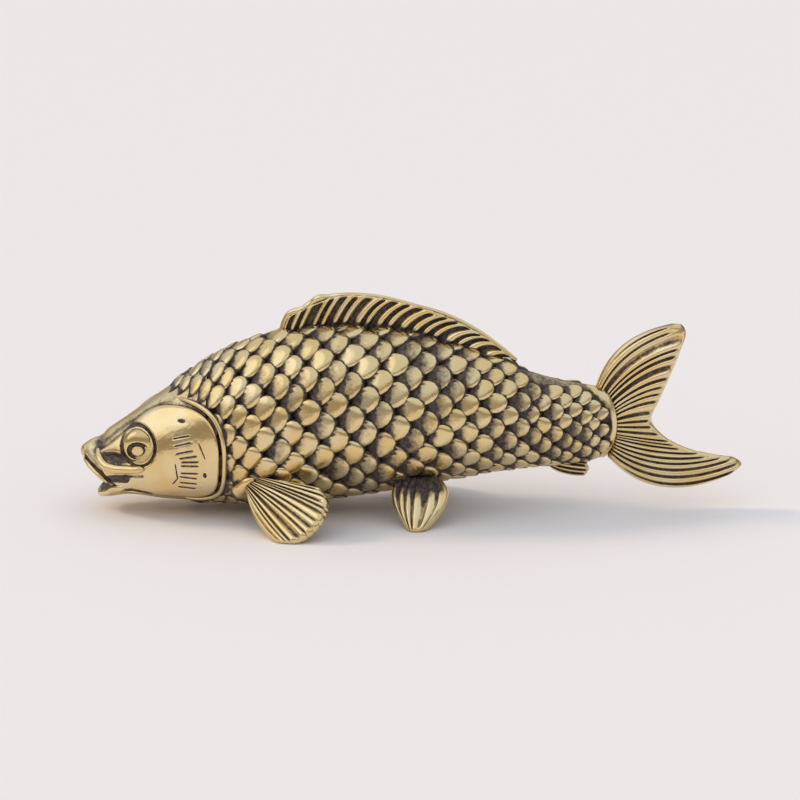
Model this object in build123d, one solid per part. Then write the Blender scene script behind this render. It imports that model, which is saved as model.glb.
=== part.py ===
from build123d import *

import os
from math import cos, radians, sin
from typing import NamedTuple

# A small cast brass carp that stands on its two pairs of fins. The trunk is one solid casting. The head,
# gill covers, gill rims, eyes, barbels and fins are castings of their own, each seated on the trunk or
# the head by a spigot, tenon, peg or fitted face, and soldered there. Nothing on it moves.
# Millimetres, +Z up, snout towards -X, origin on the floor under the middle of the figure.
# While it is built, X is the distance behind the snout.


class Section(NamedTuple):
    """One cross-section of the body: where it is, its top, its bottom and half its width."""

    at: float
    back: float
    belly: float
    half_width: float


# Body, from the snout to the root of the tail
BODY_SECTIONS = [
    Section(at=0.3, back=6.15, belly=4.55, half_width=0.9),
    Section(at=1.0, back=6.65, belly=2.8, half_width=1.75),
    Section(at=1.9, back=7.2, belly=1.3, half_width=2.5),
    Section(at=4.7, back=9.1, belly=1.5, half_width=3.8),
    Section(at=8.0, back=11.5, belly=1.1, half_width=4.8),
    Section(at=13.5, back=15.05, belly=0.85, half_width=6.0),
    Section(at=20.5, back=17.25, belly=1.0, half_width=6.6),
    Section(at=25.2, back=17.45, belly=1.6, half_width=6.5),
    Section(at=29.8, back=17.1, belly=2.3, half_width=6.05),
    Section(at=34.5, back=15.85, belly=3.15, half_width=5.2),
    Section(at=39.1, back=14.4, belly=3.95, half_width=4.1),
    Section(at=46.1, back=12.2, belly=4.55, half_width=2.35),
    Section(at=50.4, back=11.8, belly=4.9, half_width=1.15),
]
WIDEST_SHARE = 0.45  # height of the widest point, as a share of each section's depth
BODY_STATIONS = 26  # sections that the surface is drawn through
STATION_GRADING = 1.4  # above 1, they stand closer together at the snout
SOLDER_GAP = 0.05  # between a tenon, peg or spigot and its socket

# Head joint: a round spigot on the head goes into the trunk
HEAD_JOINT_AT = 12.0
SPIGOT_RADIUS = 3.0
SPIGOT_LENGTH = 3.5
SPIGOT_HEIGHT = 7.6

# Snout and mouth
SNOUT_RADIUS = 0.8
SNOUT_AT = 0.8
SNOUT_HEIGHT = 5.55
MOUTH_CORNER_AT = 2.9
MOUTH_CORNER_HEIGHT = 2.75
MOUTH_TOP_SLOPE = 37  # degrees, the upper lip's edge above level
MOUTH_LOWER_SLOPE = 36  # degrees, the lower lip's edge below level

# Gill covers, and the rim that follows each one's rear edge
COVER_THICKNESS = 0.5
COVER_FRONT_AT = 1.9
COVER_FRONT_RISE = 0.55  # above the snout's centre
COVER_FRONT_DROP = 0.65  # below it
COVER_BROW_AT = 4.5
COVER_BROW_DROP = 0.65  # below the back
COVER_TOP_AT = 8.4
COVER_TOP_DROP = 1.0  # below the back
COVER_REAR_AT = 13.15
COVER_REAR_HEIGHT = 4.9
COVER_CHIN_AT = 11.0
COVER_CHIN_RISE = 1.25  # above the belly
COVER_JAW_AT = 4.5
COVER_JAW_RISE = 0.85  # above the belly
COVER_CORNER_AT = 3.4
COVER_CORNER_RISE = 0.45  # above the corner of the mouth
COVER_LIP_AT = 2.4
COVER_LIP_RISE = 1.35  # above the corner of the mouth
COVER_FRONT_RUN = (1, 0.7)  # directions of the outline at the snout, the top and the chin
COVER_TOP_RUN = (1, 0.15)
COVER_CHIN_RUN = (-1, -0.1)
RIM_GAP = 0.3
RIM_WIDTH = 0.6
RIM_THICKNESS = 0.45
RIM_START_SHARE = 0.12  # of the way down the cover's rear edge, where the rim begins

# Eyes: a bead in a flat-bottomed socket
EYE_BEHIND_BROW = 0.95
EYE_BELOW_BROW = 1.55
EYE_RADIUS = 1.4
EYE_SEAT_DEPTH = 1.1
EYE_PROUD = 0.35
EYE_EDGE_RADIUS = 0.17
PUPIL_RADIUS = 0.5
PUPIL_RING_WIDTH = 0.35
PUPIL_RING_DEPTH = 0.2

# Barbels: a rod on each cheek, from beside the snout down and back below the eye
BARBEL_RADIUS = 0.36
BARBEL_BEND_RADIUS = 0.9
BARBEL_ROOT_AT = 1.75
BARBEL_ROOT_RISE = 0.4  # above the snout's centre
BARBEL_BEND_AT = 2.75
BARBEL_EYE_GAP = 0.25  # below the eye's socket
BARBEL_PAST_EYE = 0.4  # from the eye's centre back to the rod's end

# Dorsal fin, a blade on the middle plane with a tenon along its foot
DORSAL_THICKNESS = 1.3
DORSAL_FRONT_AT = 18.95
DORSAL_REAR_AT = 40.4
DORSAL_SHOULDER_AT = 20.1
DORSAL_SHOULDER_RISE = 2.75
DORSAL_PEAK_AT = 24.7
DORSAL_PEAK_RISE = 3.25
DORSAL_MIDDLE_AT = 32.5
DORSAL_MIDDLE_RISE = 2.8
DORSAL_TAIL_RISE = 0.5
DORSAL_FOOT = 0.8  # how far the blade is drawn below the back, before it is fitted to it
DORSAL_RAYS = 19
DORSAL_RAY_LEAN = 32  # degrees from upright, towards the tail
DORSAL_TENON_INSET = 2.6
DORSAL_TENON_DEPTH = 1.5
DORSAL_TENON_RISE = 0.6  # how far the tenon runs up inside the blade
DORSAL_TENON_THICKNESS = 0.8

# Tail fin, a forked blade on the middle plane with a tongue in the trunk.
# Its outline is measured back from the end of the trunk and up or down from the fin's root.
TRUNK_END_TRIM = 0.4  # taken off the last section where the end of the trunk is rounded
TRUNK_END_RADIUS = 5.6
TAIL_ROOT_AT = BODY_SECTIONS[-1].at - TRUNK_END_TRIM
TAIL_ROOT_HEIGHT = 8.3
TAIL_THICKNESS = 1.3
TAIL_NECK_BACK = -1.7
TAIL_NECK_RISE = 3.3
TAIL_UPPER_EDGE_BACK = 2.2
TAIL_UPPER_EDGE_RISE = 8.1
TAIL_UPPER_TIP_BACK = 6.3
TAIL_UPPER_TIP_RISE = 9.4
TAIL_NOTCH_BACK = 3.7
TAIL_NOTCH_DROP = 0.2
TAIL_LOWER_EDGE_BACK = 8.2
TAIL_LOWER_EDGE_DROP = 2.9
TAIL_LOWER_TIP_BACK = 12.0
TAIL_LOWER_TIP_DROP = 3.9
TAIL_KEEL_REAR_BACK = 9.2
TAIL_KEEL_REAR_DROP = 6.0
TAIL_KEEL_BACK = 5.5
TAIL_KEEL_DROP = 6.45
TAIL_TIP_RADIUS = 0.45
TAIL_RAYS = 8  # in each lobe
TAIL_TONGUE_LENGTH = 4.0
TAIL_TONGUE_LAP = 1.3  # how far the tongue runs on into the blade
TAIL_TONGUE_HEIGHT = 3.0
TAIL_TONGUE_THICKNESS = 0.8

# Anal fin, a low blade under the root of the tail
ANAL_THICKNESS = 0.9
ANAL_FRONT_AT = 43.3
ANAL_REAR_AT = 47.4
ANAL_DROP = 1.5
ANAL_REAR_DROP = 1.0
ANAL_TIP_INSET = 0.5  # from the rear corner forward to the lowest point
ANAL_FOOT = 0.7  # how far the blade is drawn above the belly, before it is fitted to it
ANAL_FRONT_RUN = (1, -1)  # directions of the lower edge at its front and its lowest point
ANAL_TIP_RUN = (1, 0)
ANAL_TENON_LENGTH = 2.0
ANAL_TENON_DEPTH = 1.2
ANAL_TENON_THICKNESS = 0.5

# Paired fins: flat blades that slope outwards and down to the floor
FIN_PEG_RADIUS = 0.75
FIN_PEG_DEPTH = 2.4
PECTORAL_THICKNESS = 1.1
PECTORAL_AT = 15.4
PECTORAL_ROOT_HEIGHT = 3.9
PECTORAL_SPLAY = 24  # degrees, the blade's level line turned out from the body's length
PECTORAL_DIP = 43  # degrees, the blade's slope below level
PECTORAL_LENGTH = 8.9
PECTORAL_FOOT_START = 4.6
PECTORAL_FOOT_LENGTH = 2.2
PECTORAL_OVERHANG = 0.35  # how far past the floor line the blade is drawn before it is ground flat
PECTORAL_ROOT_WIDTH = 1.6
PECTORAL_KNUCKLE_RADIUS = 0.95
PECTORAL_WIDEST_SHARE = 0.35  # of the way down the slope, where the fan reaches furthest back
PECTORAL_TRAILING_RUN = (1, 0.6)  # directions of the fan's outline at its corners
PECTORAL_HEEL_RUN = (-1, 0.5)
PECTORAL_TOE_RUN = (-1, -0.5)
PECTORAL_ROOT_RUN = (-0.4, -1)
PECTORAL_RAYS = 9
PELVIC_THICKNESS = 1.2
PELVIC_AT = 31.8
PELVIC_ROOT_HEIGHT = 4.0
PELVIC_SPLAY = 8
PELVIC_DIP = 43
PELVIC_WIDTH = 4.9
PELVIC_NECK_WIDTH = 2.8
PELVIC_FOOT_LENGTH = 1.3
PELVIC_OVERHANG = 0.4
PELVIC_KNUCKLE_RADIUS = 0.9
PELVIC_WIDEST_SHARE = 0.35  # of the way down the slope
PELVIC_NECK_RUN = (1, 0.6)  # directions of the rear edge at the neck and the foot
PELVIC_FOOT_RUN = (-1, 0.7)
PELVIC_RAYS = 5

# Rays are V-shaped grooves cut into both faces of a fin
GROOVE_WIDTH = 0.5
GROOVE_DEPTH = 0.25
GROOVE_MARGIN = 0.7  # land left between a groove's end and the fin's edge

MIDDLE = Plane.XZ  # its normal is -Y, so a sketch's x is X and its y is Z
FAR = 80.0  # further than any cut has to reach


def level(share, low, high):
    """A value between two others, at a share of the way."""
    return low + share * (high - low)


def body_section(at):
    """The body's section at a distance behind the snout, on smooth curves through the given ones."""
    last = len(BODY_SECTIONS) - 2
    index = min(sum(section.at < at for section in BODY_SECTIONS[1:-1]), last)
    front, rear = BODY_SECTIONS[index], BODY_SECTIONS[index + 1]
    before, after = BODY_SECTIONS[max(index - 1, 0)], BODY_SECTIONS[min(index + 2, last + 1)]
    span = rear.at - front.at
    share = (at - front.at) / span

    def curve(edge):
        low, high = getattr(front, edge), getattr(rear, edge)
        rise_in = (high - getattr(before, edge)) / (rear.at - before.at) * span
        rise_out = (getattr(after, edge) - low) / (after.at - front.at) * span
        bend = level(share, rise_in - (high - low), (high - low) - rise_out)
        return level(share, low, high) + share * (1 - share) * bend

    return Section(at, curve("back"), curve("belly"), curve("half_width"))


def below_back(at, drop):
    """A point in side view, below the back."""
    return Vector(at, body_section(at).back - drop)


def above_belly(at, rise):
    """A point in side view, above the belly."""
    return Vector(at, body_section(at).belly + rise)


def body_ring(section, grow):
    """A section's outline: a tall half ellipse over a lower one, drawn as four quarters."""
    widest = level(WIDEST_SHARE, section.belly, section.back)
    half_width = section.half_width + grow
    above = section.back + grow - widest
    below = widest - section.belly + grow
    quarters = [
        EllipticalCenterArc((0, 0), half_width, radius, start, arc_size=90)
        for radius, start in ((above, 0), (above, 90), (below, 180), (below, 270))
    ]
    place = Plane((section.at, 0, widest), x_dir=(0, 1, 0), z_dir=(1, 0, 0))
    return place * make_face(Curve() + quarters)


def make_body(grow=0.0):
    """The whole body as one smooth solid, or a copy that is larger all round."""
    stations = [
        level((number / BODY_STATIONS) ** STATION_GRADING, BODY_SECTIONS[0].at, BODY_SECTIONS[-1].at)
        for number in range(BODY_STATIONS + 1)
    ]
    return loft([body_ring(body_section(at), grow) for at in stations])


def blade(face, thickness):
    """A flat blade on the middle plane."""
    return extrude(face, thickness / 2, both=True)


def outline(*curves):
    """A face on the middle plane, from curves drawn in x and height."""
    return MIDDLE * make_face(Curve() + list(curves))


def side_prism(face):
    """A side-view outline carried from the middle plane out through the left flank."""
    return extrude(face, FAR)


def flank(solid, at, height):
    """The point where a level line from the middle plane leaves the left flank."""
    hits = solid.find_intersection_points(Axis((at, 0, height), (0, -1, 0)))
    return min((point for point, normal in hits), key=lambda point: point.Y)


def mirrored(solid):
    """The same piece on the right side."""
    return mirror(solid, about=Plane.XZ)


def groove(start, end, plane, face_height):
    """A V-shaped cutter along a line drawn on a plane, at one face of a blade."""
    along = (end - start).normalized()
    across = along.rotate(Axis.Z, 90)
    half = across * GROOVE_WIDTH / 2
    foot = start + along * GROOVE_MARGIN
    tip = end - along * GROOVE_MARGIN
    lift = Vector(0, 0, face_height)
    deep = Vector(0, 0, face_height - GROOVE_DEPTH if face_height > 0 else face_height + GROOVE_DEPTH)
    wedge = loft(
        [
            make_face(Polyline(p + half + lift, p - half + lift, p + deep, close=True))
            for p in (foot, tip)
        ]
    )
    return plane * wedge


def with_grooves(solid, rays, plane, thickness):
    """A blade with one groove on each face for every ray."""
    cutters = [
        groove(start, end, plane, height)
        for start, end in rays
        for height in (thickness / 2, -thickness / 2)
    ]
    return solid - cutters


def make_mouth():
    """The wedge that the open mouth leaves between the lips."""
    corner = Vector(MOUTH_CORNER_AT, MOUTH_CORNER_HEIGHT)
    up = radians(180 - MOUTH_TOP_SLOPE)
    down = radians(180 + MOUTH_LOWER_SLOPE)
    wedge = Polyline(
        corner,
        corner + Vector(cos(up), sin(up)) * FAR,
        corner + Vector(cos(down), sin(down)) * FAR,
        close=True,
    )
    return extrude(outline(wedge), FAR, both=True)


def cover_rear_edge(out):
    """The rear edge of the gill cover in side view, or a curve alongside it, further out."""
    points = [
        below_back(COVER_TOP_AT, COVER_TOP_DROP),
        Vector(COVER_REAR_AT, COVER_REAR_HEIGHT),
        above_belly(COVER_CHIN_AT, COVER_CHIN_RISE),
    ]
    runs = [Vector(*COVER_TOP_RUN), Vector(0, -1), Vector(*COVER_CHIN_RUN)]
    aside = [point + run.normalized().rotate(Axis.Z, 90) * out for point, run in zip(points, runs)]
    return Spline(*aside, tangents=[runs[0], runs[-1]])


def cover_face():
    """The gill cover in side view, from the snout to the gill opening."""
    front_top = (COVER_FRONT_AT, SNOUT_HEIGHT + COVER_FRONT_RISE)
    brow = below_back(COVER_BROW_AT, COVER_BROW_DROP)
    rear_edge = cover_rear_edge(0)
    jaw = above_belly(COVER_JAW_AT, COVER_JAW_RISE)
    corner = (COVER_CORNER_AT, MOUTH_CORNER_HEIGHT + COVER_CORNER_RISE)
    lip = (COVER_LIP_AT, MOUTH_CORNER_HEIGHT + COVER_LIP_RISE)
    front_bottom = (COVER_FRONT_AT, SNOUT_HEIGHT - COVER_FRONT_DROP)
    return outline(
        Spline(front_top, brow, rear_edge @ 0, tangents=[COVER_FRONT_RUN, COVER_TOP_RUN]),
        rear_edge,
        Polyline(rear_edge @ 1, jaw, corner, lip, front_bottom, front_top),
    )


def make_covers(body, mouth):
    """The left gill cover, and the rim behind it, as plates that lie on the body."""
    cover = (make_body(COVER_THICKNESS) & side_prism(cover_face())) - body
    near, far = (
        cover_rear_edge(out).edge().trim(RIM_START_SHARE, 1) for out in (RIM_GAP, RIM_GAP + RIM_WIDTH)
    )
    strip = outline(near, Line(near @ 1, far @ 1), far, Line(far @ 0, near @ 0))
    rim = (make_body(RIM_THICKNESS) & side_prism(strip)) - body
    return cover - mouth, rim


def eye_centre():
    """The eye's centre in side view, behind and below the gill cover's brow."""
    return below_back(COVER_BROW_AT, COVER_BROW_DROP) + Vector(EYE_BEHIND_BROW, -EYE_BELOW_BROW)


def make_eye(body):
    """The left eye bead, and the cutter for its socket."""
    centre = eye_centre()
    place = flank(body, centre.X, centre.Y)
    axis = Plane(place + Vector(0, EYE_SEAT_DEPTH, 0), x_dir=(1, 0, 0), z_dir=(0, -1, 0))
    depth = EYE_SEAT_DEPTH + COVER_THICKNESS + EYE_PROUD
    bead = axis * extrude(Circle(EYE_RADIUS - SOLDER_GAP), depth)
    ring = Circle(PUPIL_RADIUS + PUPIL_RING_WIDTH) - Circle(PUPIL_RADIUS)
    bead -= axis * Pos(0, 0, depth - PUPIL_RING_DEPTH) * extrude(ring, PUPIL_RING_DEPTH)
    rim_edge = bead.edges().filter_by(GeomType.CIRCLE).sort_by(Axis.Y)[0:2].sort_by(SortBy.RADIUS)[-1]
    bead = fillet(rim_edge, EYE_EDGE_RADIUS)
    return bead, axis * extrude(Circle(EYE_RADIUS), FAR)


def make_barbel(carrier):
    """The left barbel: a rod bent along the cheek, fitted to what it lies on."""
    eye = eye_centre()
    run_height = eye.Y - EYE_RADIUS - BARBEL_EYE_GAP - BARBEL_RADIUS
    path = FilletPolyline(
        flank(carrier, BARBEL_ROOT_AT, SNOUT_HEIGHT + BARBEL_ROOT_RISE),
        flank(carrier, BARBEL_BEND_AT, run_height),
        flank(carrier, eye.X + BARBEL_PAST_EYE, run_height),
        radius=BARBEL_BEND_RADIUS,
    )
    section = Plane(path @ 0, z_dir=path % 0) * Circle(BARBEL_RADIUS)
    rod = sweep(section, path) + Pos(path @ 0) * Sphere(BARBEL_RADIUS)
    return rod + Pos(path @ 1) * Sphere(BARBEL_RADIUS) - carrier


def make_dorsal(body):
    """The dorsal fin, and the cutter for its slot in the back."""
    front_top = below_back(DORSAL_FRONT_AT, 0)
    rear_top = below_back(DORSAL_REAR_AT, -DORSAL_TAIL_RISE)
    crest = Spline(
        front_top,
        below_back(DORSAL_SHOULDER_AT, -DORSAL_SHOULDER_RISE),
        below_back(DORSAL_PEAK_AT, -DORSAL_PEAK_RISE),
        below_back(DORSAL_MIDDLE_AT, -DORSAL_MIDDLE_RISE),
        rear_top,
    )
    foot = Polyline(
        rear_top,
        below_back(DORSAL_REAR_AT, DORSAL_FOOT),
        below_back(DORSAL_FRONT_AT, DORSAL_FOOT),
        front_top,
    )
    fin = blade(outline(crest, foot), DORSAL_THICKNESS)
    lean = Vector(sin(radians(DORSAL_RAY_LEAN)), cos(radians(DORSAL_RAY_LEAN)))
    rays = []
    for number in range(1, DORSAL_RAYS):
        at = level(number / DORSAL_RAYS, DORSAL_FRONT_AT, DORSAL_REAR_AT)
        foot = below_back(at, GROOVE_MARGIN)
        crossing = Line(foot, foot + lean * FAR).find_intersection_points(crest.edge())
        if crossing:
            rays.append((foot, Vector(crossing[0].X, crossing[0].Y)))
    fin = with_grooves(fin, rays, MIDDLE, DORSAL_THICKNESS) - body
    tenon_front = DORSAL_FRONT_AT + DORSAL_TENON_INSET
    tenon_rear = DORSAL_REAR_AT - DORSAL_TENON_INSET

    def tenon(gap):
        front, rear = tenon_front - gap, tenon_rear + gap
        stations = [front, level(0.5, front, rear), rear]
        top = [below_back(at, -DORSAL_TENON_RISE) for at in stations]
        bottom = [below_back(at, DORSAL_TENON_DEPTH + gap) for at in reversed(stations)]
        return blade(outline(Polyline(*top, *bottom, close=True)), DORSAL_TENON_THICKNESS + 2 * gap)

    return fin + tenon(0), tenon(SOLDER_GAP)


def make_tail(trunk):
    """The tail fin, and the cutter for its slot in the end of the trunk."""

    def from_root(back, rise):
        return Vector(TAIL_ROOT_AT + back, TAIL_ROOT_HEIGHT + rise)

    neck_top = from_root(TAIL_NECK_BACK, TAIL_NECK_RISE)
    neck_bottom = from_root(TAIL_NECK_BACK, -TAIL_NECK_RISE)
    upper_tip = from_root(TAIL_UPPER_TIP_BACK, TAIL_UPPER_TIP_RISE)
    notch = from_root(TAIL_NOTCH_BACK, -TAIL_NOTCH_DROP)
    lower_tip = from_root(TAIL_LOWER_TIP_BACK, -TAIL_LOWER_TIP_DROP)
    fork = make_face(
        Curve()
        + [
            Spline(neck_top, from_root(TAIL_UPPER_EDGE_BACK, TAIL_UPPER_EDGE_RISE), upper_tip),
            Line(upper_tip, notch),
            Spline(notch, from_root(TAIL_LOWER_EDGE_BACK, -TAIL_LOWER_EDGE_DROP), lower_tip),
            Spline(
                lower_tip,
                from_root(TAIL_KEEL_REAR_BACK, -TAIL_KEEL_REAR_DROP),
                from_root(TAIL_KEEL_BACK, -TAIL_KEEL_DROP),
                neck_bottom,
            ),
            Line(neck_bottom, neck_top),
        ]
    )
    tips = [fork.vertices().sort_by_distance(tip)[0] for tip in (upper_tip, lower_tip)]
    fin = blade(MIDDLE * fillet(tips, TAIL_TIP_RADIUS), TAIL_THICKNESS)
    middle = (neck_top + neck_bottom) / 2
    rays = [
        (level(ray / TAIL_RAYS, neck, middle), level(ray / TAIL_RAYS, tip, notch))
        for neck, tip in ((neck_top, upper_tip), (neck_bottom, lower_tip))
        for ray in range(1, TAIL_RAYS)
    ]
    fin = with_grooves(fin, rays, MIDDLE, TAIL_THICKNESS) - trunk

    def tongue(gap):
        length = TAIL_TONGUE_LENGTH + TAIL_TONGUE_LAP + gap
        bar = Box(length, TAIL_TONGUE_THICKNESS + 2 * gap, TAIL_TONGUE_HEIGHT + 2 * gap)
        return Pos(TAIL_ROOT_AT + TAIL_TONGUE_LAP - length / 2, 0, TAIL_ROOT_HEIGHT) * bar

    return fin + tongue(0), tongue(SOLDER_GAP)


def make_anal(body):
    """The anal fin, and the cutter for its slot in the belly."""
    front = above_belly(ANAL_FRONT_AT, 0)
    tip = above_belly(ANAL_REAR_AT - ANAL_TIP_INSET, -ANAL_DROP)
    sail = outline(
        Spline(front, tip, tangents=[ANAL_FRONT_RUN, ANAL_TIP_RUN]),
        Polyline(
            tip,
            above_belly(ANAL_REAR_AT, -ANAL_REAR_DROP),
            above_belly(ANAL_REAR_AT - ANAL_TIP_INSET, ANAL_FOOT),
            above_belly(ANAL_FRONT_AT, ANAL_FOOT),
            front,
        ),
    )
    fin = blade(sail, ANAL_THICKNESS) - body
    centre = level(0.5, ANAL_FRONT_AT, ANAL_REAR_AT)

    def tenon(gap):
        bar = Box(
            ANAL_TENON_LENGTH + 2 * gap,
            ANAL_TENON_THICKNESS + 2 * gap,
            ANAL_TENON_DEPTH + ANAL_DROP / 2 + gap,
            align=(Align.CENTER, Align.CENTER, Align.MAX),
        )
        top = above_belly(centre, ANAL_TENON_DEPTH + gap)
        return Pos(top.X, 0, top.Y) * bar

    return fin + tenon(0), tenon(SOLDER_GAP)


def fin_plane(root, splay, dip):
    """The plane of a left paired fin: x runs back along the blade, y runs down its slope."""
    turn, tilt = radians(splay), radians(dip)
    back = Vector(cos(turn), -sin(turn), 0)
    down = Vector(-sin(turn) * cos(tilt), -cos(turn) * cos(tilt), -sin(tilt))
    return Plane(root, x_dir=back, z_dir=back.cross(down))


def seat_fin(fin, knuckle_radius, root, body):
    """A blade with its root knuckle fitted to the body, its peg, and a foot ground flat on the floor."""
    knuckle = Pos(root) * Sphere(knuckle_radius)
    floor = Pos(0, 0, -FAR / 2) * Box(2 * FAR, FAR, FAR)
    lap = knuckle_radius / 2

    def peg(gap):
        start = Plane(root - Vector(0, lap, 0), z_dir=(0, 1, 0))
        return start * extrude(Circle(FIN_PEG_RADIUS + gap), lap + FIN_PEG_DEPTH + gap)

    return fin + knuckle - body + peg(0) - floor, peg(SOLDER_GAP)


def make_pectoral(body):
    """The left pectoral fin, a fan on the cheek's lower corner, and the cutter for its peg."""
    root = flank(body, PECTORAL_AT, PECTORAL_ROOT_HEIGHT)
    plane = fin_plane(root, PECTORAL_SPLAY, PECTORAL_DIP)
    reach = root.Z / sin(radians(PECTORAL_DIP)) + PECTORAL_OVERHANG
    half_root = PECTORAL_ROOT_WIDTH / 2
    foot_end = PECTORAL_FOOT_START + PECTORAL_FOOT_LENGTH
    trailing = Vector(PECTORAL_LENGTH - half_root, 0)
    widest = Vector(PECTORAL_LENGTH, reach * PECTORAL_WIDEST_SHARE)
    heel = Vector(foot_end, reach)
    toe = Vector(PECTORAL_FOOT_START, reach)
    rim = Spline(trailing, widest, heel, tangents=[PECTORAL_TRAILING_RUN, PECTORAL_HEEL_RUN])
    leading = Spline(toe, (0, half_root), tangents=[PECTORAL_TOE_RUN, PECTORAL_ROOT_RUN])
    fan = make_face(
        Curve()
        + [
            Line((0, -half_root), trailing),
            rim,
            Line(heel, toe),
            leading,
            Line((0, half_root), (0, -half_root)),
        ]
    )
    fin = extrude(plane * fan, PECTORAL_THICKNESS / 2, both=True)
    hub = Vector(0, 0)
    rays = [
        (hub + (end - hub).normalized() * PECTORAL_KNUCKLE_RADIUS, end)
        for end in (rim @ (ray / PECTORAL_RAYS) for ray in range(PECTORAL_RAYS))
    ]
    fin = with_grooves(fin, rays, plane, PECTORAL_THICKNESS)
    return seat_fin(fin, PECTORAL_KNUCKLE_RADIUS, root, body)


def make_pelvic(body):
    """The left pelvic fin, a small shield under the belly, and the cutter for its peg."""
    root = flank(body, PELVIC_AT, PELVIC_ROOT_HEIGHT)
    plane = fin_plane(root, PELVIC_SPLAY, PELVIC_DIP)
    reach = root.Z / sin(radians(PELVIC_DIP)) + PELVIC_OVERHANG
    half_neck = PELVIC_NECK_WIDTH / 2
    half_foot = PELVIC_FOOT_LENGTH / 2
    half = PELVIC_WIDTH / 2
    widest = reach * PELVIC_WIDEST_SHARE
    rear_edge = Spline(
        (half_neck, 0), (half, widest), (half_foot, reach), tangents=[PELVIC_NECK_RUN, PELVIC_FOOT_RUN]
    )
    front_edge = mirror(rear_edge, about=Plane.YZ)
    shield = make_face(
        Curve()
        + [
            rear_edge,
            Line((half_foot, reach), (-half_foot, reach)),
            front_edge,
            Line((-half_neck, 0), (half_neck, 0)),
        ]
    )
    fin = extrude(plane * shield, PELVIC_THICKNESS / 2, both=True)
    rays = [
        (
            Vector(level(ray / PELVIC_RAYS, -half_neck, half_neck), widest),
            Vector(level(ray / PELVIC_RAYS, -half_foot, half_foot), reach),
        )
        for ray in range(1, PELVIC_RAYS)
    ]
    fin = with_grooves(fin, rays, plane, PELVIC_THICKNESS)
    return seat_fin(fin, PELVIC_KNUCKLE_RADIUS, root, body)


def make_trunk_and_head(body, mouth):
    """The trunk and the head, parted at a plane and joined by the head's spigot."""

    def spigot(gap):
        start = Plane((HEAD_JOINT_AT, 0, SPIGOT_HEIGHT), z_dir=(1, 0, 0))
        return start * extrude(Circle(SPIGOT_RADIUS + gap), SPIGOT_LENGTH + gap)

    joint = Plane((HEAD_JOINT_AT, 0, 0), z_dir=(1, 0, 0))
    trunk = split(body, joint, keep=Keep.TOP)
    head = split(body, joint, keep=Keep.BOTTOM)
    snout = Pos(SNOUT_AT, 0, SNOUT_HEIGHT) * Sphere(SNOUT_RADIUS)
    rounded_end = Pos(TAIL_ROOT_AT - TRUNK_END_RADIUS, 0, TAIL_ROOT_HEIGHT) * Rot(90, 0, 0)
    rounded_end *= Cylinder(TRUNK_END_RADIUS, FAR)
    past_end = Pos(TAIL_ROOT_AT, 0, TAIL_ROOT_HEIGHT) * Box(TRUNK_END_RADIUS, FAR, FAR)
    trunk -= past_end - rounded_end
    return trunk - spigot(SOLDER_GAP), head + snout - mouth + spigot(0)


def make_figure():
    """Every piece by its name, with X still measured from the snout."""
    body = make_body()
    mouth = make_mouth()
    trunk, head = make_trunk_and_head(body, mouth)
    cover, rim = make_covers(body, mouth)
    eye, eye_socket = make_eye(body)
    barbel = make_barbel(body + cover + head) - mouth
    dorsal, dorsal_slot = make_dorsal(body)
    tail, tail_slot = make_tail(trunk)
    anal, anal_slot = make_anal(body)
    pectoral, pectoral_socket = make_pectoral(body)
    pelvic, pelvic_socket = make_pelvic(body)
    left_pieces = {
        "gill_cover": cover - eye_socket,
        "gill_rim": rim,
        "eye": eye,
        "barbel": barbel - eye_socket,
        "pectoral_fin": pectoral,
        "pelvic_fin": pelvic,
    }
    for socket in (pectoral_socket, pelvic_socket):
        trunk -= [socket, mirrored(socket)]
    figure = {
        "trunk": trunk - dorsal_slot - tail_slot - anal_slot,
        "head": head - eye_socket - mirrored(eye_socket),
        "dorsal_fin": dorsal,
        "tail_fin": tail,
        "anal_fin": anal,
    }
    for name, piece in left_pieces.items():
        figure[f"{name}_left"] = piece
        figure[f"{name}_right"] = mirrored(piece)
    return figure


def main():
    figure = make_figure()
    box = Compound([piece for part in figure.values() for piece in part.solids()]).bounding_box()
    to_origin = Pos(-box.center().X, 0, -box.min.Z)
    os.makedirs("parts", exist_ok=True)
    for name, piece in figure.items():
        export_step(to_origin * piece, f"parts/{name}.step")
    print("size", box.size)


main()
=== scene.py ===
# %% [markdown]
# # A small brass carp
# The figure is a cast brass carp, a little longer than a thumb. The caster darkens the whole casting and
# then polishes it, so that the dark patina stays only where the polishing wheel can't reach: between the
# scales, along the fin rays and in the mouth. Two things make its look, the carved relief and that patina.
# The measured solids of the figure are loaded first. Every visible piece is then made to fit them.

# %% Load the measured solids
import math

import bmesh
import bpy
import numpy as np
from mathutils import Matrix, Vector
from mathutils.bvhtree import BVHTree


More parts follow.
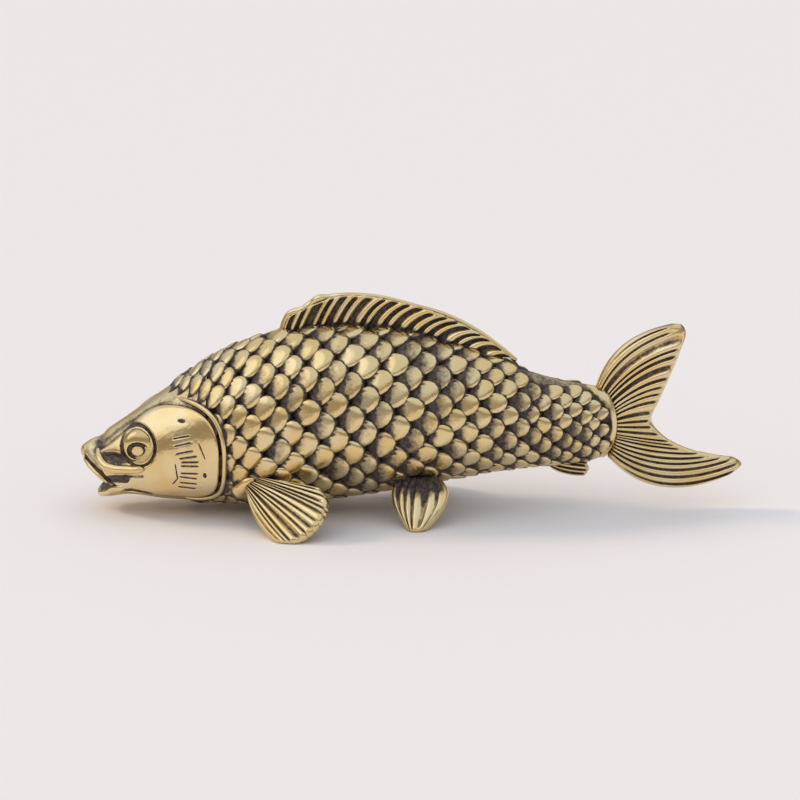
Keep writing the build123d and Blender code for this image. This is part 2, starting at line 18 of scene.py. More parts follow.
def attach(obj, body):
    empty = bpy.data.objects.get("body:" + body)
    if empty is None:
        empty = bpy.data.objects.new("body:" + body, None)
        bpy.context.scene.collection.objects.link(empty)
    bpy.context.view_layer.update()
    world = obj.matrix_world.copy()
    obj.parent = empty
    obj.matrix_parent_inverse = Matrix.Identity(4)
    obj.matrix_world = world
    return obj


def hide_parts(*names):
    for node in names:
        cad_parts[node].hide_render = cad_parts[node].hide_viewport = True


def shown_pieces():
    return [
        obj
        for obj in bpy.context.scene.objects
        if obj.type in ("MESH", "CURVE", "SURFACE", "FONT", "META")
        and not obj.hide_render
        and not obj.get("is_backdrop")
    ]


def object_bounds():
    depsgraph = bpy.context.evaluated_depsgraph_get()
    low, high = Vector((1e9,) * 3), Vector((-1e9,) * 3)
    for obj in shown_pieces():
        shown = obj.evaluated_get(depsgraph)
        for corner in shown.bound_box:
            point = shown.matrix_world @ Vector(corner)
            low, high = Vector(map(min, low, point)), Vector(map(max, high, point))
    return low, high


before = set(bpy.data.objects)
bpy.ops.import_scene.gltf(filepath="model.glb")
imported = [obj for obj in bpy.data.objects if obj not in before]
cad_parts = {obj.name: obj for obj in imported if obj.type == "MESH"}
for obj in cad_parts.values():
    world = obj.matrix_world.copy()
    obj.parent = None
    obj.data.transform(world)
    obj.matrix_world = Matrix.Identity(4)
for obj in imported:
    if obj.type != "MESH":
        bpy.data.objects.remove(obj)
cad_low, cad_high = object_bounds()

MM = 0.001
SNOUT_X = cad_low.x
print("solids:", sorted(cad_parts))
print("size in mm:", [round(side / MM, 2) for side in cad_high - cad_low])

# %% [markdown]
# ## Camera
# The photograph looks at the left flank, from a little above. A long lens keeps the fish free of
# perspective, as a picture of so small a thing is taken from many times its own length away.

# %% Camera
CAMERA_RISE = math.radians(15)
CAMERA_DISTANCE = 400 * MM
CAMERA_TARGET = Vector((-0.96, 0, 10.41)) * MM
VIEW_WIDTH = 74.5 * MM  # of the picture, at the fish


def add_camera():
    """The photograph's camera, aimed at the middle of the picture."""
    camera = bpy.data.cameras.new("camera")
    camera.sensor_width = 36
    camera.lens = camera.sensor_width * CAMERA_DISTANCE / VIEW_WIDTH
    camera.clip_start = CAMERA_DISTANCE / 20
    eye = bpy.data.objects.new("camera", camera)
    back = Vector((0, -math.cos(CAMERA_RISE), math.sin(CAMERA_RISE)))
    eye.location = CAMERA_TARGET + back * CAMERA_DISTANCE
    eye.rotation_euler = (-back).to_track_quat("-Z", "Y").to_euler()
    bpy.context.scene.collection.objects.link(eye)
    bpy.context.scene.camera = eye
    print("lens", round(camera.lens), "mm")


add_camera()

# %% [markdown]
# ## Node helpers
# Materials and Geometry Nodes are both graphs of nodes. One helper adds a node, sets its options and
# links or fills its sockets, so that each graph below reads like a short recipe.

# %% Node helpers


def add_node(tree, kind, inputs=None, **options):
    """A new node. An input is either another node's output, which is linked, or a plain value."""
    node = tree.nodes.new(kind)
    for option, value in options.items():
        setattr(node, option, value)
    for key, value in (inputs or {}).items():
        if isinstance(value, bpy.types.NodeSocket):
            tree.links.new(value, node.inputs[key])
        else:
            node.inputs[key].default_value = value
    return node


def sums(tree, operation, first, second=0.0, third=0.0):
    """The result of one arithmetic node."""
    inputs = {0: first, 1: second, 2: third}
    return add_node(tree, "ShaderNodeMath", inputs, operation=operation).outputs[0]


def vectors(tree, operation, first, second=(0, 0, 0)):
    """The result of one vector node: a number for a dot product, and otherwise a vector."""
    node = add_node(tree, "ShaderNodeVectorMath", {0: first, 1: second}, operation=operation)
    return node.outputs["Value" if operation == "DOT_PRODUCT" else "Vector"]


def scaled(tree, vector, factor):
    """A vector made longer or shorter."""
    inputs = {"Vector": vector, "Scale": factor}
    return add_node(tree, "ShaderNodeVectorMath", inputs, operation="SCALE").outputs["Vector"]


def remapped(tree, value, low, high, to_low=0.0, to_high=1.0):
    """A value carried smoothly from one range to another, and held at the ends."""
    inputs = {"Value": value, "From Min": low, "From Max": high, "To Min": to_low, "To Max": to_high}
    node = add_node(tree, "ShaderNodeMapRange", inputs, interpolation_type="SMOOTHSTEP")
    return node.outputs["Result"]


def blended(tree, factor, first, second):
    """A mix of two colours."""
    node = add_node(tree, "ShaderNodeMix", data_type="RGBA")
    for socket, value in (("Factor_Float", factor), ("A_Color", first), ("B_Color", second)):
        target = next(entry for entry in node.inputs if entry.identifier == socket)
        if isinstance(value, bpy.types.NodeSocket):
            tree.links.new(value, target)
        else:
            target.default_value = value
    return next(entry for entry in node.outputs if entry.identifier == "Result_Color")


def named(tree, name):
    """A value that every point of the geometry carries under a name."""
    return add_node(tree, "GeometryNodeInputNamedAttribute", {"Name": name}, data_type="FLOAT").outputs[0]


def stored(tree, geometry, name, value):
    """The geometry with a value kept at every point under a name."""
    inputs = {"Geometry": geometry, "Name": name, "Value": value}
    node = add_node(tree, "GeometryNodeStoreNamedAttribute", inputs, data_type="FLOAT", domain="POINT")
    return node.outputs[0]


def new_tree(name, **inputs):
    """An empty geometry tree with named inputs, and the node that gives them."""
    tree = bpy.data.node_groups.new(name, "GeometryNodeTree")
    tree.interface.new_socket("Geometry", in_out="INPUT", socket_type="NodeSocketGeometry")
    tree.interface.new_socket("Geometry", in_out="OUTPUT", socket_type="NodeSocketGeometry")
    for label, kind in inputs.items():
        tree.interface.new_socket(label, in_out="INPUT", socket_type="NodeSocket" + kind)
    return tree, tree.nodes.new("NodeGroupInput").outputs


def end_tree(tree, geometry, material):
    """Every tree ends alike: real meshes instead of instances, smooth shading and one material."""
    real = add_node(tree, "GeometryNodeRealizeInstances", {"Geometry": geometry}).outputs[0]
    smooth = add_node(tree, "GeometryNodeSetShadeSmooth", {"Geometry": real}).outputs[0]
    inputs = {"Geometry": smooth, "Material": material}
    finished = add_node(tree, "GeometryNodeSetMaterial", inputs).outputs[0]
    add_node(tree, "NodeGroupOutput", {"Geometry": finished})


def run_tree(tree, piece, **settings):
    """Runs a tree on a piece with these inputs, and gives the result as a plain mesh."""
    modifier = piece.modifiers.new(tree.name, "NODES")
    modifier.node_group = tree
    for socket in tree.interface.items_tree:
        if socket.in_out == "INPUT" and socket.name in settings:
            modifier[socket.identifier] = settings[socket.name]
    graph = bpy.context.evaluated_depsgraph_get()
    finished = piece.evaluated_get(graph)
    mesh = bpy.data.meshes.new_from_object(finished, preserve_all_data_layers=True, depsgraph=graph)
    piece.modifiers.remove(modifier)
    return mesh


# %% [markdown]
# ## Floor and light
# The carp stands on a plain pale floor under soft daylight. Metal has no colour of its own to speak of:
# it shows what is round it. So the room has a bright ceiling, dim walls and a pale floor, and every dome
# of the carp mirrors the three as a bright cap, a brown band and a tan belly. A low, warm sun draws the
# shadow that falls to the right of the tail. The brass doesn't mirror it, because so small and bright a
# lamp would put a hot spot on every scale.

# %% Floor and light
FLOOR_COLOUR = (0.88, 0.855, 0.865, 1)
WALL_COLOUR = (0.40, 0.36, 0.32, 1)
CEILING_COLOUR = (0.88, 0.93, 1.0, 1)
WALL_TOP, CEILING_EDGE = 0.26, 0.5  # the upward share of a direction, where walls end and ceiling begins
ROOM_STRENGTH = 0.86
FLOOR_HALF = 2.0  # metres


def add_floor():
    """A wide floor, which isn't part of the figure."""
    mesh = bpy.data.meshes.new("floor")
    corners = [(x * FLOOR_HALF, y * FLOOR_HALF, 0) for x, y in ((-1, -1), (1, -1), (1, 1), (-1, 1))]
    mesh.from_pydata(corners, [], [(0, 1, 2, 3)])
    material = bpy.data.materials.new("floor")
    material.use_nodes = True
    shader = material.node_tree.nodes["Principled BSDF"]
    shader.inputs["Base Color"].default_value = FLOOR_COLOUR
    shader.inputs["Roughness"].default_value = 0.9
    mesh.materials.append(material)
    floor = bpy.data.objects.new("floor", mesh)
    bpy.context.scene.collection.objects.link(floor)
    floor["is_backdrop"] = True


def add_sun(name, towards, strength, spread, colour, mirrored=True):
    """Daylight from one direction, alike over the whole floor, which the brass mirrors or not."""
    light = bpy.data.lights.new(name, "SUN")
    light.energy = strength
    light.angle = math.radians(spread)
    light.color = colour
    sun = bpy.data.objects.new(name, light)
    sun.rotation_euler = Vector(towards).to_track_quat("-Z", "Y").to_euler()
    sun.visible_glossy = mirrored
    bpy.context.scene.collection.objects.link(sun)


def add_room():
    """Dim walls that pass into a bright ceiling."""
    world = bpy.data.worlds.new("room")
    bpy.context.scene.world = world
    world.use_nodes = True
    tree = world.node_tree
    direction = add_node(tree, "ShaderNodeTexCoord").outputs["Generated"]
    height = add_node(tree, "ShaderNodeSeparateXYZ", {0: direction}).outputs["Z"]
    above = remapped(tree, height, WALL_TOP, CEILING_EDGE)
    sky = tree.nodes["Background"]
    tree.links.new(blended(tree, above, WALL_COLOUR, CEILING_COLOUR), sky.inputs["Color"])
    sky.inputs["Strength"].default_value = ROOM_STRENGTH


add_floor()
add_sun("daylight", towards=(0.75, 0.35, -0.8), strength=0.35, spread=60, colour=(1.0, 0.95, 0.92))
add_sun(
    "low_sun", towards=(1.0, -0.25, -0.72), strength=1.1, spread=14, colour=(1.0, 0.74, 0.45), mirrored=False
)
add_room()
bpy.context.scene.view_settings.view_transform = "Standard"
print("lamps:", [lamp.name for lamp in bpy.data.lights])

# %% [markdown]
# ## Aged brass
# Polished brass is a warm yellow mirror, a little hazy. The patina is a brown-black film that hardly
# mirrors at all. One material mixes the two by a value that every point of the fish carries: 0 where the
# wheel has polished and 1 in the deepest hollows. On the sides of the skull and on the free edges of the
# scales that value also holds painted shade. Noise breaks up the border between bright metal and film, and
# shifts the yellow slightly, because hand polishing is never even.

# %% Aged brass
BRASS_GOLD = (0.80, 0.59, 0.27, 1)
BRASS_PALE = (0.82, 0.67, 0.39, 1)
PATINA_BROWN = (0.120, 0.088, 0.064, 1)
PATINA_BLACK = (0.052, 0.042, 0.043, 1)
TINTS_PER_MM = 0.35  # patches of yellower and paler brass
BLOTCHES_PER_MM = 0.9  # patches with more or less patina
GRAIN_PER_MM = 3.2
DENTS_PER_MM = 1.3
DENT_DEPTH = 0.06  # mm


def noise(tree, place, per_mm, detail=3.0):
    """Cloudy noise with a given number of features to the millimetre."""
    inputs = {"Vector": place, "Scale": per_mm / MM, "Detail": detail}
    return add_node(tree, "ShaderNodeTexNoise", inputs).outputs["Fac"]


def aged_brass(name, polish=0.45, softness=0.28, sheen=0.23):
    """Brass that is dark in its hollows and where shade is painted. More polish leaves less of the patina.
    """
    material = bpy.data.materials.new(name)
    material.use_nodes = True
    tree = material.node_tree
    shader = tree.nodes["Principled BSDF"]
    place = add_node(tree, "ShaderNodeTexCoord").outputs["Object"]
    hollows_and_shade = add_node(tree, "ShaderNodeAttribute", attribute_name="patina").outputs["Fac"]
    blotches = noise(tree, place, BLOTCHES_PER_MM)
    grain = noise(tree, place, GRAIN_PER_MM, 4.0)
    film_and_shade = sums(tree, "MULTIPLY_ADD", sums(tree, "SUBTRACT", blotches, 0.5), 0.45, hollows_and_shade)
    film_and_shade = sums(tree, "MULTIPLY_ADD", sums(tree, "SUBTRACT", grain, 0.5), 0.3, film_and_shade)
    dark = remapped(tree, film_and_shade, polish - softness / 2, polish + softness / 2)
    tint = remapped(tree, noise(tree, place, TINTS_PER_MM), 0.35, 0.65)
    brass = blended(tree, tint, BRASS_GOLD, BRASS_PALE)
    film = blended(tree, remapped(tree, grain, 0.4, 0.6), PATINA_BROWN, PATINA_BLACK)
    tree.links.new(blended(tree, dark, brass, film), shader.inputs["Base Color"])
    haze = sums(tree, "MULTIPLY_ADD", grain, 0.08, sheen - 0.04)
    tree.links.new(sums(tree, "MULTIPLY_ADD", dark, 0.25, haze), shader.inputs["Roughness"])
    tree.links.new(remapped(tree, dark, 0.0, 1.0, 1.0, 0.55), shader.inputs["Metallic"])
    uneven = noise(tree, place, DENTS_PER_MM, 4.0)
    inputs = {"Height": uneven, "Strength": 0.4, "Distance": DENT_DEPTH * MM}
    dents = add_node(tree, "ShaderNodeBump", inputs)
    tree.links.new(dents.outputs["Normal"], shader.inputs["Normal"])
    return material


SCALE_BRASS = aged_brass("scale_brass", polish=0.43, softness=0.5)
FIN_BRASS = aged_brass("fin_brass", polish=0.5, softness=0.42)
CHEEK_BRASS = aged_brass("cheek_brass", polish=0.5, sheen=0.18)
BROW_BRASS = aged_brass("brow_brass", polish=0.38, softness=0.4, sheen=0.3)
print("materials:", [material.name for material in bpy.data.materials])

# %% [markdown]
# ## The shape of the body
# The body is a smooth spindle: every cross-section is a tall half ellipse over a flatter one. Three rays
# shot at the solids, one from the side, one from above and one from below, measure each section, and
# smooth curves through a few stations give the body everywhere. That is cleaner than copying the solids'
# triangles, and it leaves the sockets of the fins out. Between the dorsal fin and the tail the back is
# pressed in a little, which gives the root of the tail its waist.

# %% Measure the body
WIDEST_SHARE = 0.45  # height of the widest point, as a share of each section's depth
RAY_SHARE = 0.3  # of the half width, where the upright rays stand, to miss the slots for the fins
STATIONS = np.array([6.3, 8, 10.5, 13.5, 17, 20.5, 25.2, 29.8, 34.5, 39.1, 43, 46.1, 48])
FAR = 1.0  # further off than any of the solids
HOLLOW_AT = 43.3  # a slight hollow of the back, between the dorsal fin and the tail
HOLLOW_DEPTH = 0.3
HOLLOW_LENGTH = 1.8


def joined_solids(*nodes):
    """The triangles of some solids, for rays to hit."""
    points = []
    faces = []
    for node in nodes:
        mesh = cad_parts[node].data
        start = len(points)
        points += [vertex.co for vertex in mesh.vertices]
        faces += [[start + index for index in face.vertices] for face in mesh.polygons]
    return BVHTree.FromPolygons(points, faces)


def measured_section(solids, at):
    """The back, the belly and the half width of the body at a distance behind the snout, in mm."""
    x = SNOUT_X + at * MM
    lean = math.sqrt(1 - RAY_SHARE**2)
    widest = cad_high.z * WIDEST_SHARE
    for _ in range(3):
        half_width = -solids.ray_cast(Vector((x, -FAR, widest)), Vector((0, 1, 0)))[0].y
        y = -half_width * RAY_SHARE
        top = solids.ray_cast(Vector((x, y, FAR)), Vector((0, 0, -1)))[0].z
        bottom = solids.ray_cast(Vector((x, y, -FAR)), Vector((0, 0, 1)))[0].z
        depth = (top - bottom) / lean
        widest = bottom + WIDEST_SHARE * depth * lean
    belly = widest - WIDEST_SHARE * depth
    return (belly + depth) / MM, belly / MM, half_width / MM


def smooth_curve(at, knots, values):
    """A smooth curve through some values, carried on straight past the ends."""
    knots, values = np.asarray(knots, float), np.asarray(values, float)
    slopes = np.gradient(values, knots)
    inside = np.clip(at, knots[0], knots[-1])
    index = np.clip(np.searchsorted(knots, inside) - 1, 0, len(knots) - 2)
    span = knots[index + 1] - knots[index]
    share = (inside - knots[index]) / span
    rise = values[index + 1] - values[index]
    bend_in = slopes[index] * span - rise
    bend_out = rise - slopes[index + 1] * span
    bow = share * (1 - share) * (bend_in * (1 - share) + bend_out * share)
    beyond = (at - inside) * np.where(at < inside, slopes[0], slopes[-1])
    return values[index] + share * rise + bow + beyond


body_solids = joined_solids("trunk", "head")
BACK, BELLY, HALF_WIDTH = np.array([measured_section(body_solids, at) for at in STATIONS]).T
BACK -= HOLLOW_DEPTH * np.exp(-(((STATIONS - HOLLOW_AT) / HOLLOW_LENGTH) ** 2))


def body_ring(at, angle):
    """How far aside and how high the flank is, in mm, from -90 degrees at the belly to 90 at the back."""
    back, belly, half_width = (smooth_curve(at, STATIONS, edge) for edge in (BACK, BELLY, HALF_WIDTH))
    widest = belly + WIDEST_SHARE * (back - belly)
    reach = np.where(angle > 0, back - widest, widest - belly)
    return half_width * np.cos(angle), widest + reach * np.sin(angle)


print("deepest", round((BACK - BELLY).max(), 2), "mm, widest", round(2 * HALF_WIDTH.max(), 2), "mm")

# %% [markdown]
# ## Rows of scales
# A carp's scales lie in rows that follow the line along its flank, each row shifted by half a scale from
# the next. On this figure they are about 2.7 mm long behind the gills and less than 2 mm at the tail.
# Instead of placing scales one by one, the flank gets a second pair of coordinates, like the lines on a
# map: how many scales back, and how many rows up. On that map the scales form a perfectly even lattice,
# and the map itself takes care of their size, place and slant on the body. It also says where the patina
# is heavier: in the gutter along the gill rim, and on the front of the scales near the tail.

# %% The map of the flank
ROWS_AT = [8, 9.4, 13.5, 17, 22, 39, 46.5, 51]  # mm behind the snout
ROW_SPACING = [1.1, 1.17, 1.36, 1.47, 1.54, 1.21, 0.87, 0.7]  # mm between rows
SCALE_PITCH = [1.65, 1.75, 2.1, 2.5, 2.7, 2.37, 1.8, 1.5]  # mm from scale to scale along a row
ROW_SLANT = 0.12  # rise of the rows to the rear, besides that of the body's middle line
SLANT_CENTRE = 32  # mm behind the snout
RELIEF_SHARE = 0.22  # height of a scale, as a share of its pitch
MAP_START, MAP_END = 5.5, 52.5  # mm behind the snout
MAP_COLUMNS, MAP_RINGS = 160, 112
PAST_MIDDLE = math.radians(36)  # how far the map runs on over the back and under the belly
SCALES_PAST_MIDDLE = math.radians(4)  # how far past the middle a scale may have its centre
TRUNK_END = 50.0
TRUNK_END_RADIUS = 5.6
TRUNK_END_HEIGHT = 8.3
COLLAR_WIDTH = 0.7  # bare strip in front of the tail fin
BARE_BACK_AT = 40.2  # from here to the tail the top of the back is bare
BARE_BACK_DEPTH = 0.5
GILL_EDGE_HEIGHT = [1.0, 2.2, 2.9, 3.7, 5.4, 7.3, 9.0, 10.5, 11.2, 11.5, 12.2]
GILL_EDGE_AT = [11.2, 12.6, 13.4, 13.7, 14.0, 13.8, 13.6, 12.8, 11.7, 10.6, 9.2]  # rear side of the rim
FIRST_SCALES = -0.2  # mm behind that line, where the first scales have their centres
GUTTER_END = 0.2  # mm behind that line, where the dark gutter ends
GUTTER_FADE = 1 / 3
NAPE_HEIGHT = 12.4  # above this there is no gutter
NAPE_FADE = 0.8
REAR_STAIN = 0.5  # how much further the dark front of a scale reaches at the tail
REAR_STAIN_AT = 24  # mm behind the snout, where that begins
REAR_STAIN_RUN = 20


def trunk_end(height):
    """Where the rounded end of the trunk is, at a height."""
    rise = np.clip(np.abs(height - TRUNK_END_HEIGHT), 0, TRUNK_END_RADIUS)
    return TRUNK_END - TRUNK_END_RADIUS + np.sqrt(TRUNK_END_RADIUS**2 - rise**2)


def scale_count(at):
    """How many scales lie between the map's zero and this place."""
    fine = np.linspace(4, 54, 1001)
    count = np.cumsum(1 / smooth_curve(fine, ROWS_AT, SCALE_PITCH)) * (fine[1] - fine[0])
    return np.interp(at, fine, count)


def flank_map(side):
    """One flank as a grid that knows its scale count, its row, its relief and where scales are wanted."""
    at, angle = np.meshgrid(
        np.linspace(MAP_START, MAP_END, MAP_COLUMNS),
        np.linspace(-math.pi / 2 - PAST_MIDDLE, math.pi / 2 + PAST_MIDDLE, MAP_RINGS),
        indexing="ij",
    )
    aside, height = body_ring(at, angle)
    steps = np.hypot(np.diff(aside, axis=1), np.diff(height, axis=1))
    along = np.concatenate([np.zeros((len(at), 1)), np.cumsum(steps, axis=1)], axis=1)
    middle = (height.max(axis=1) + height.min(axis=1)) / 2
    line = middle + ROW_SLANT * (at[:, 0] - SLANT_CENTRE)
    upright = slice(*np.searchsorted(angle[0], (-math.pi / 2, math.pi / 2)))
    zero = [np.interp(z, rise[upright], arc[upright]) for z, rise, arc in zip(line, height, along)]
    row = (along - np.array(zero)[:, None]) / smooth_curve(at, ROWS_AT, ROW_SPACING)
    past_gill = at - np.interp(height, GILL_EDGE_HEIGHT, GILL_EDGE_AT)
    before_tail = at < trunk_end(height) - COLLAR_WIDTH
    bare_back = (at > BARE_BACK_AT) & (height > height.max(axis=1)[:, None] - BARE_BACK_DEPTH)
    own_side = np.abs(angle) < math.pi / 2 + SCALES_PAST_MIDDLE
    gutter = np.clip((GUTTER_END - past_gill) / GUTTER_FADE, 0, 1)
    gutter *= np.clip((NAPE_HEIGHT - height) / NAPE_FADE, 0, 1)
    points = np.stack([SNOUT_X + at * MM, side * aside * MM, height * MM], axis=-1)
    attributes = {
        "gutter": gutter,
        "stain_reach": 1 + REAR_STAIN * np.clip((at - REAR_STAIN_AT) / REAR_STAIN_RUN, 0, 1),
        "rows": np.stack([scale_count(at), row, 0 * row], axis=-1),
        "relief": smooth_curve(at, ROWS_AT, SCALE_PITCH) * RELIEF_SHARE * MM,
        "scaled": ((past_gill > FIRST_SCALES) & before_tail & ~bare_back & own_side).astype(float),
    }
    return points, attributes


def grid_mesh(name, points, attributes, turned=False):
    """A mesh from a grid of points, with one value or vector for each point under every name."""
    columns, rows = points.shape[:2]
    index = np.arange(columns * rows).reshape(columns, rows)
    corners = [index[:-1, :-1], index[1:, :-1], index[1:, 1:], index[:-1, 1:]]
    faces = np.stack(corners[::-1] if turned else corners, axis=-1).reshape(-1, 4)
    mesh = bpy.data.meshes.new(name)
    mesh.from_pydata(points.reshape(-1, 3).tolist(), [], faces.tolist())
    for label, values in attributes.items():
        is_vector = values.ndim == 3
        layer = mesh.attributes.new(label, "FLOAT_VECTOR" if is_vector else "FLOAT", "POINT")
        layer.data.foreach_set("vector" if is_vector else "value", values.ravel())
    mesh.shade_smooth()
    return mesh


def new_object(name, mesh):
    """An object at the origin, with its place in its mesh."""
    piece = bpy.data.objects.new(name, mesh)
    bpy.context.scene.collection.objects.link(piece)
    return piece


def show(name, mesh, slot, *nodes):
    """A finished piece of the figure, in place of some of the solids."""
    piece = new_object(name, mesh)
    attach(piece, "root")
    if nodes:
        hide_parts(*nodes)
    print(name, len(mesh.polygons), "faces")
    return piece


# %% [markdown]
# ## One scale
# A scale is a rounded tile. Its front lies deep under the tiles before it, and it rises to the rear, is
# crowned across, and ends in a rounded free edge that stands clear of the tiles behind. It is drawn once,
# on the map: one unit long, with the next rows one unit above and below. It needs few faces, because it
# is used hundreds of times.

# %% One scale
SCALE_FRONT = -0.8
SCALE_MIDDLE = -0.26  # where the sides end and the round free edge begins
SCALE_TIP = 0.31
SCALE_HALF = 0.89
SCALE_FRONT_HALF = 0.5
SCALE_SIDES = 9
SCALE_STEPS = [0, 0.27, 0.46, 0.68, 0.87, 1.0]  # from the front to the free edge
SCALE_RISE = [-0.7, 0.0, 0.4, 0.62, 0.66, 0.2]
SCALE_CROWN = 0.65
# The last value darkens the sloping free edge of each scale into a thin dark outline: partly the patina of
# the groove behind it, partly a painted shadow of the edge.
SCALE_STAIN_AND_SHADOW = [1.0, 0.6, 0.28, 0.12, 0.0, 0.8]
SIDE_STAIN = 0.2  # more of it towards the sides of the scale
SCALE_UNDERSIDE = -1.3


def scale_tile():
    """The tile on the map: a crowned top, an upright edge and a flat underside."""
    turn, step = np.meshgrid(np.linspace(-1, 1, SCALE_SIDES), SCALE_STEPS, indexing="ij")
    rise = np.broadcast_to(SCALE_RISE, turn.shape)
    around = turn * math.pi / 2
    edge_u = SCALE_MIDDLE + (SCALE_TIP - SCALE_MIDDLE) * np.cos(around)
    edge_v = SCALE_HALF * np.sin(around)
    u = SCALE_FRONT + (edge_u - SCALE_FRONT) * step
    v = SCALE_FRONT_HALF * turn * (1 - step) + edge_v * step
    height = rise - SCALE_CROWN * turn**2 * step
    top = np.stack([u, v, height], axis=-1)
    stain = np.broadcast_to(SCALE_STAIN_AND_SHADOW, turn.shape) + SIDE_STAIN * turn**2
    mesh = grid_mesh("scale_tile", top, {"stain": stain}, turned=True)
    shape = bmesh.new()
    shape.from_mesh(mesh)
    rim = [edge for edge in shape.edges if edge.is_boundary]
    wall = bmesh.ops.extrude_edge_only(shape, edges=rim)["geom"]
    for vertex in wall:
        if isinstance(vertex, bmesh.types.BMVert):
            vertex.co.z = SCALE_UNDERSIDE
    bmesh.ops.contextual_create(shape, geom=[edge for edge in shape.edges if edge.is_boundary])
    bmesh.ops.recalc_face_normals(shape, faces=shape.faces)
    shape.to_mesh(mesh)
    shape.free()
    mesh.shade_smooth()
    return mesh


tile = new_object("scale_tile", scale_tile())
print("one scale has", len(tile.data.polygons), "faces")

# %% [markdown]
# ## The coat of scales
# A Geometry Nodes tree lays out a lattice of points, shifts every second row by half a scale, nudges each
# point a little, drops the points where the map wants no scales, and puts a tile on each of the rest. All
# that happens flat, on the map. There every corner of every tile also looks up its patina. At the end it
# looks up its own place on the flank, which wraps the whole coat round the body at once.

# %% The coat of scales
MIDDLE_ROW = 12  # row of the lattice that follows the middle line of the flank
SCALE_SPIN = 0.07  # radians
SCALE_SWELL = (0.04, 0.05, 0.15)  # share by which a scale's length, breadth and height vary


def scale_coat_tree():
    """Lattice, brick shift, nudge, tile, and the wrap from the map to the flank."""
    tree, given = new_tree(
        "coat of scales", Columns="Int", Rows="Int", Nudge="Float", Uneven="Float", Seed="Int",
        Tile="Object", Brass="Material",
    )
    across = sums(tree, "SUBTRACT", given["Columns"], 1)
    up = sums(tree, "SUBTRACT", given["Rows"], 1)
    inputs = {"Size X": across, "Size Y": up, "Vertices X": given["Columns"], "Vertices Y": given["Rows"]}
    lattice = add_node(tree, "GeometryNodeMeshGrid", inputs).outputs["Mesh"]
    place = add_node(tree, "GeometryNodeInputPosition").outputs[0]
    parts = add_node(tree, "ShaderNodeSeparateXYZ", {0: place}).outputs
    row = sums(tree, "ROUND", sums(tree, "MULTIPLY_ADD", up, 0.5, parts["Y"]))
    brick = sums(tree, "MULTIPLY", sums(tree, "MODULO", row, 2), 0.5)
    corner = {"X": sums(tree, "MULTIPLY_ADD", across, 0.5, brick), "Y": sums(tree, "MULTIPLY", up, 0.5)}
    shift = add_node(tree, "ShaderNodeCombineXYZ", corner).outputs[0]
    spread = {0: (-1, -1, -1), 1: (1, 1, 1), 8: given["Seed"]}
    random = add_node(tree, "FunctionNodeRandomValue", spread, data_type="FLOAT_VECTOR").outputs[0]
    nudge = vectors(tree, "MULTIPLY", scaled(tree, random, given["Nudge"]), (1, 1, 0))
    moved = add_node(
        tree, "GeometryNodeSetPosition", {"Geometry": lattice, "Offset": vectors(tree, "ADD", shift, nudge)}
    ).outputs[0]

    def on_flank(kind, value):
        rows = add_node(tree, "GeometryNodeInputNamedAttribute", {"Name": "rows"}, data_type="FLOAT_VECTOR")
        inputs = {"Mesh": given["Geometry"], "Value": value, "UV Map": rows.outputs[0], "Sample UV": place}
        return add_node(tree, "GeometryNodeSampleUVSurface", inputs, data_type=kind).outputs[0]

    bare = sums(tree, "LESS_THAN", on_flank("FLOAT", named(tree, "scaled")), 0.5)
    kept = add_node(tree, "GeometryNodeDeleteGeometry", {"Geometry": moved, "Selection": bare}).outputs[0]
    spin = scaled(tree, vectors(tree, "MULTIPLY", random, (0, 0, 1)), SCALE_SPIN)
    turn = add_node(tree, "FunctionNodeEulerToRotation", {0: spin}).outputs[0]
    swell = vectors(tree, "MULTIPLY_ADD", random, SCALE_SWELL)
    swell.node.inputs[2].default_value = (1, 1, 1)
    tiles = add_node(tree, "GeometryNodeObjectInfo", {"Object": given["Tile"]}).outputs["Geometry"]
    tone = add_node(tree, "ShaderNodeSeparateXYZ", {0: random}).outputs["Y"]
    toned = stored(tree, kept, "tone", sums(tree, "MULTIPLY", tone, given["Uneven"]))
    inputs = {"Points": toned, "Instance": tiles, "Rotation": turn, "Scale": swell}
    laid = add_node(tree, "GeometryNodeInstanceOnPoints", inputs).outputs[0]
    real = add_node(tree, "GeometryNodeRealizeInstances", {"Geometry": laid}).outputs[0]
    reach = on_flank("FLOAT", named(tree, "stain_reach"))
    stain = sums(tree, "MULTIPLY_ADD", named(tree, "stain"), reach, named(tree, "tone"))
    stain = sums(tree, "ADD", stain, on_flank("FLOAT", named(tree, "gutter")))
    stained = stored(tree, real, "stain", stain)
    lift = sums(tree, "MULTIPLY", parts["Z"], on_flank("FLOAT", named(tree, "relief")))
    normal = on_flank("FLOAT_VECTOR", add_node(tree, "GeometryNodeInputNormal").outputs[0])
    on_body = vectors(tree, "ADD", on_flank("FLOAT_VECTOR", place), scaled(tree, normal, lift))
    inputs = {"Geometry": stained, "Position": on_body}
    end_tree(tree, add_node(tree, "GeometryNodeSetPosition", inputs).outputs[0], given["Brass"])
    return tree


scale_coat = scale_coat_tree()
for side, word, seed in ((-1, "left", 3), (1, "right", 8)):
    points, attributes = flank_map(side)
    attributes["rows"][..., 1] += MIDDLE_ROW
    ground = new_object("flank_" + word, grid_mesh("flank_" + word, points, attributes, turned=side > 0))
    settings = {"Columns": 24, "Rows": 24, "Nudge": 0.06, "Uneven": 0.25, "Seed": seed, "Tile": tile}
    coat = run_tree(scale_coat, ground, Brass=SCALE_BRASS, **settings)
    if side > 0:
        coat.flip_normals()
    show("scales_" + word, coat, "body")
    bpy.data.objects.remove(ground)
bpy.data.objects.remove(tile)

# %% [markdown]
# ## The core of the trunk
# Between the scales the metal lies deeper, and in front of the tail and along the top of the tail's root
# it is bare. A plain closed body, sunk a little where scales cover it, shows in those places.

# %% The core of the trunk
CORE_START = 8.2
CORE_SINK = 0.42  # mm below the body's surface, where scales lie on it
END_ROUND_AT = 44  # from here on the core is drawn in to the rounded end of the trunk


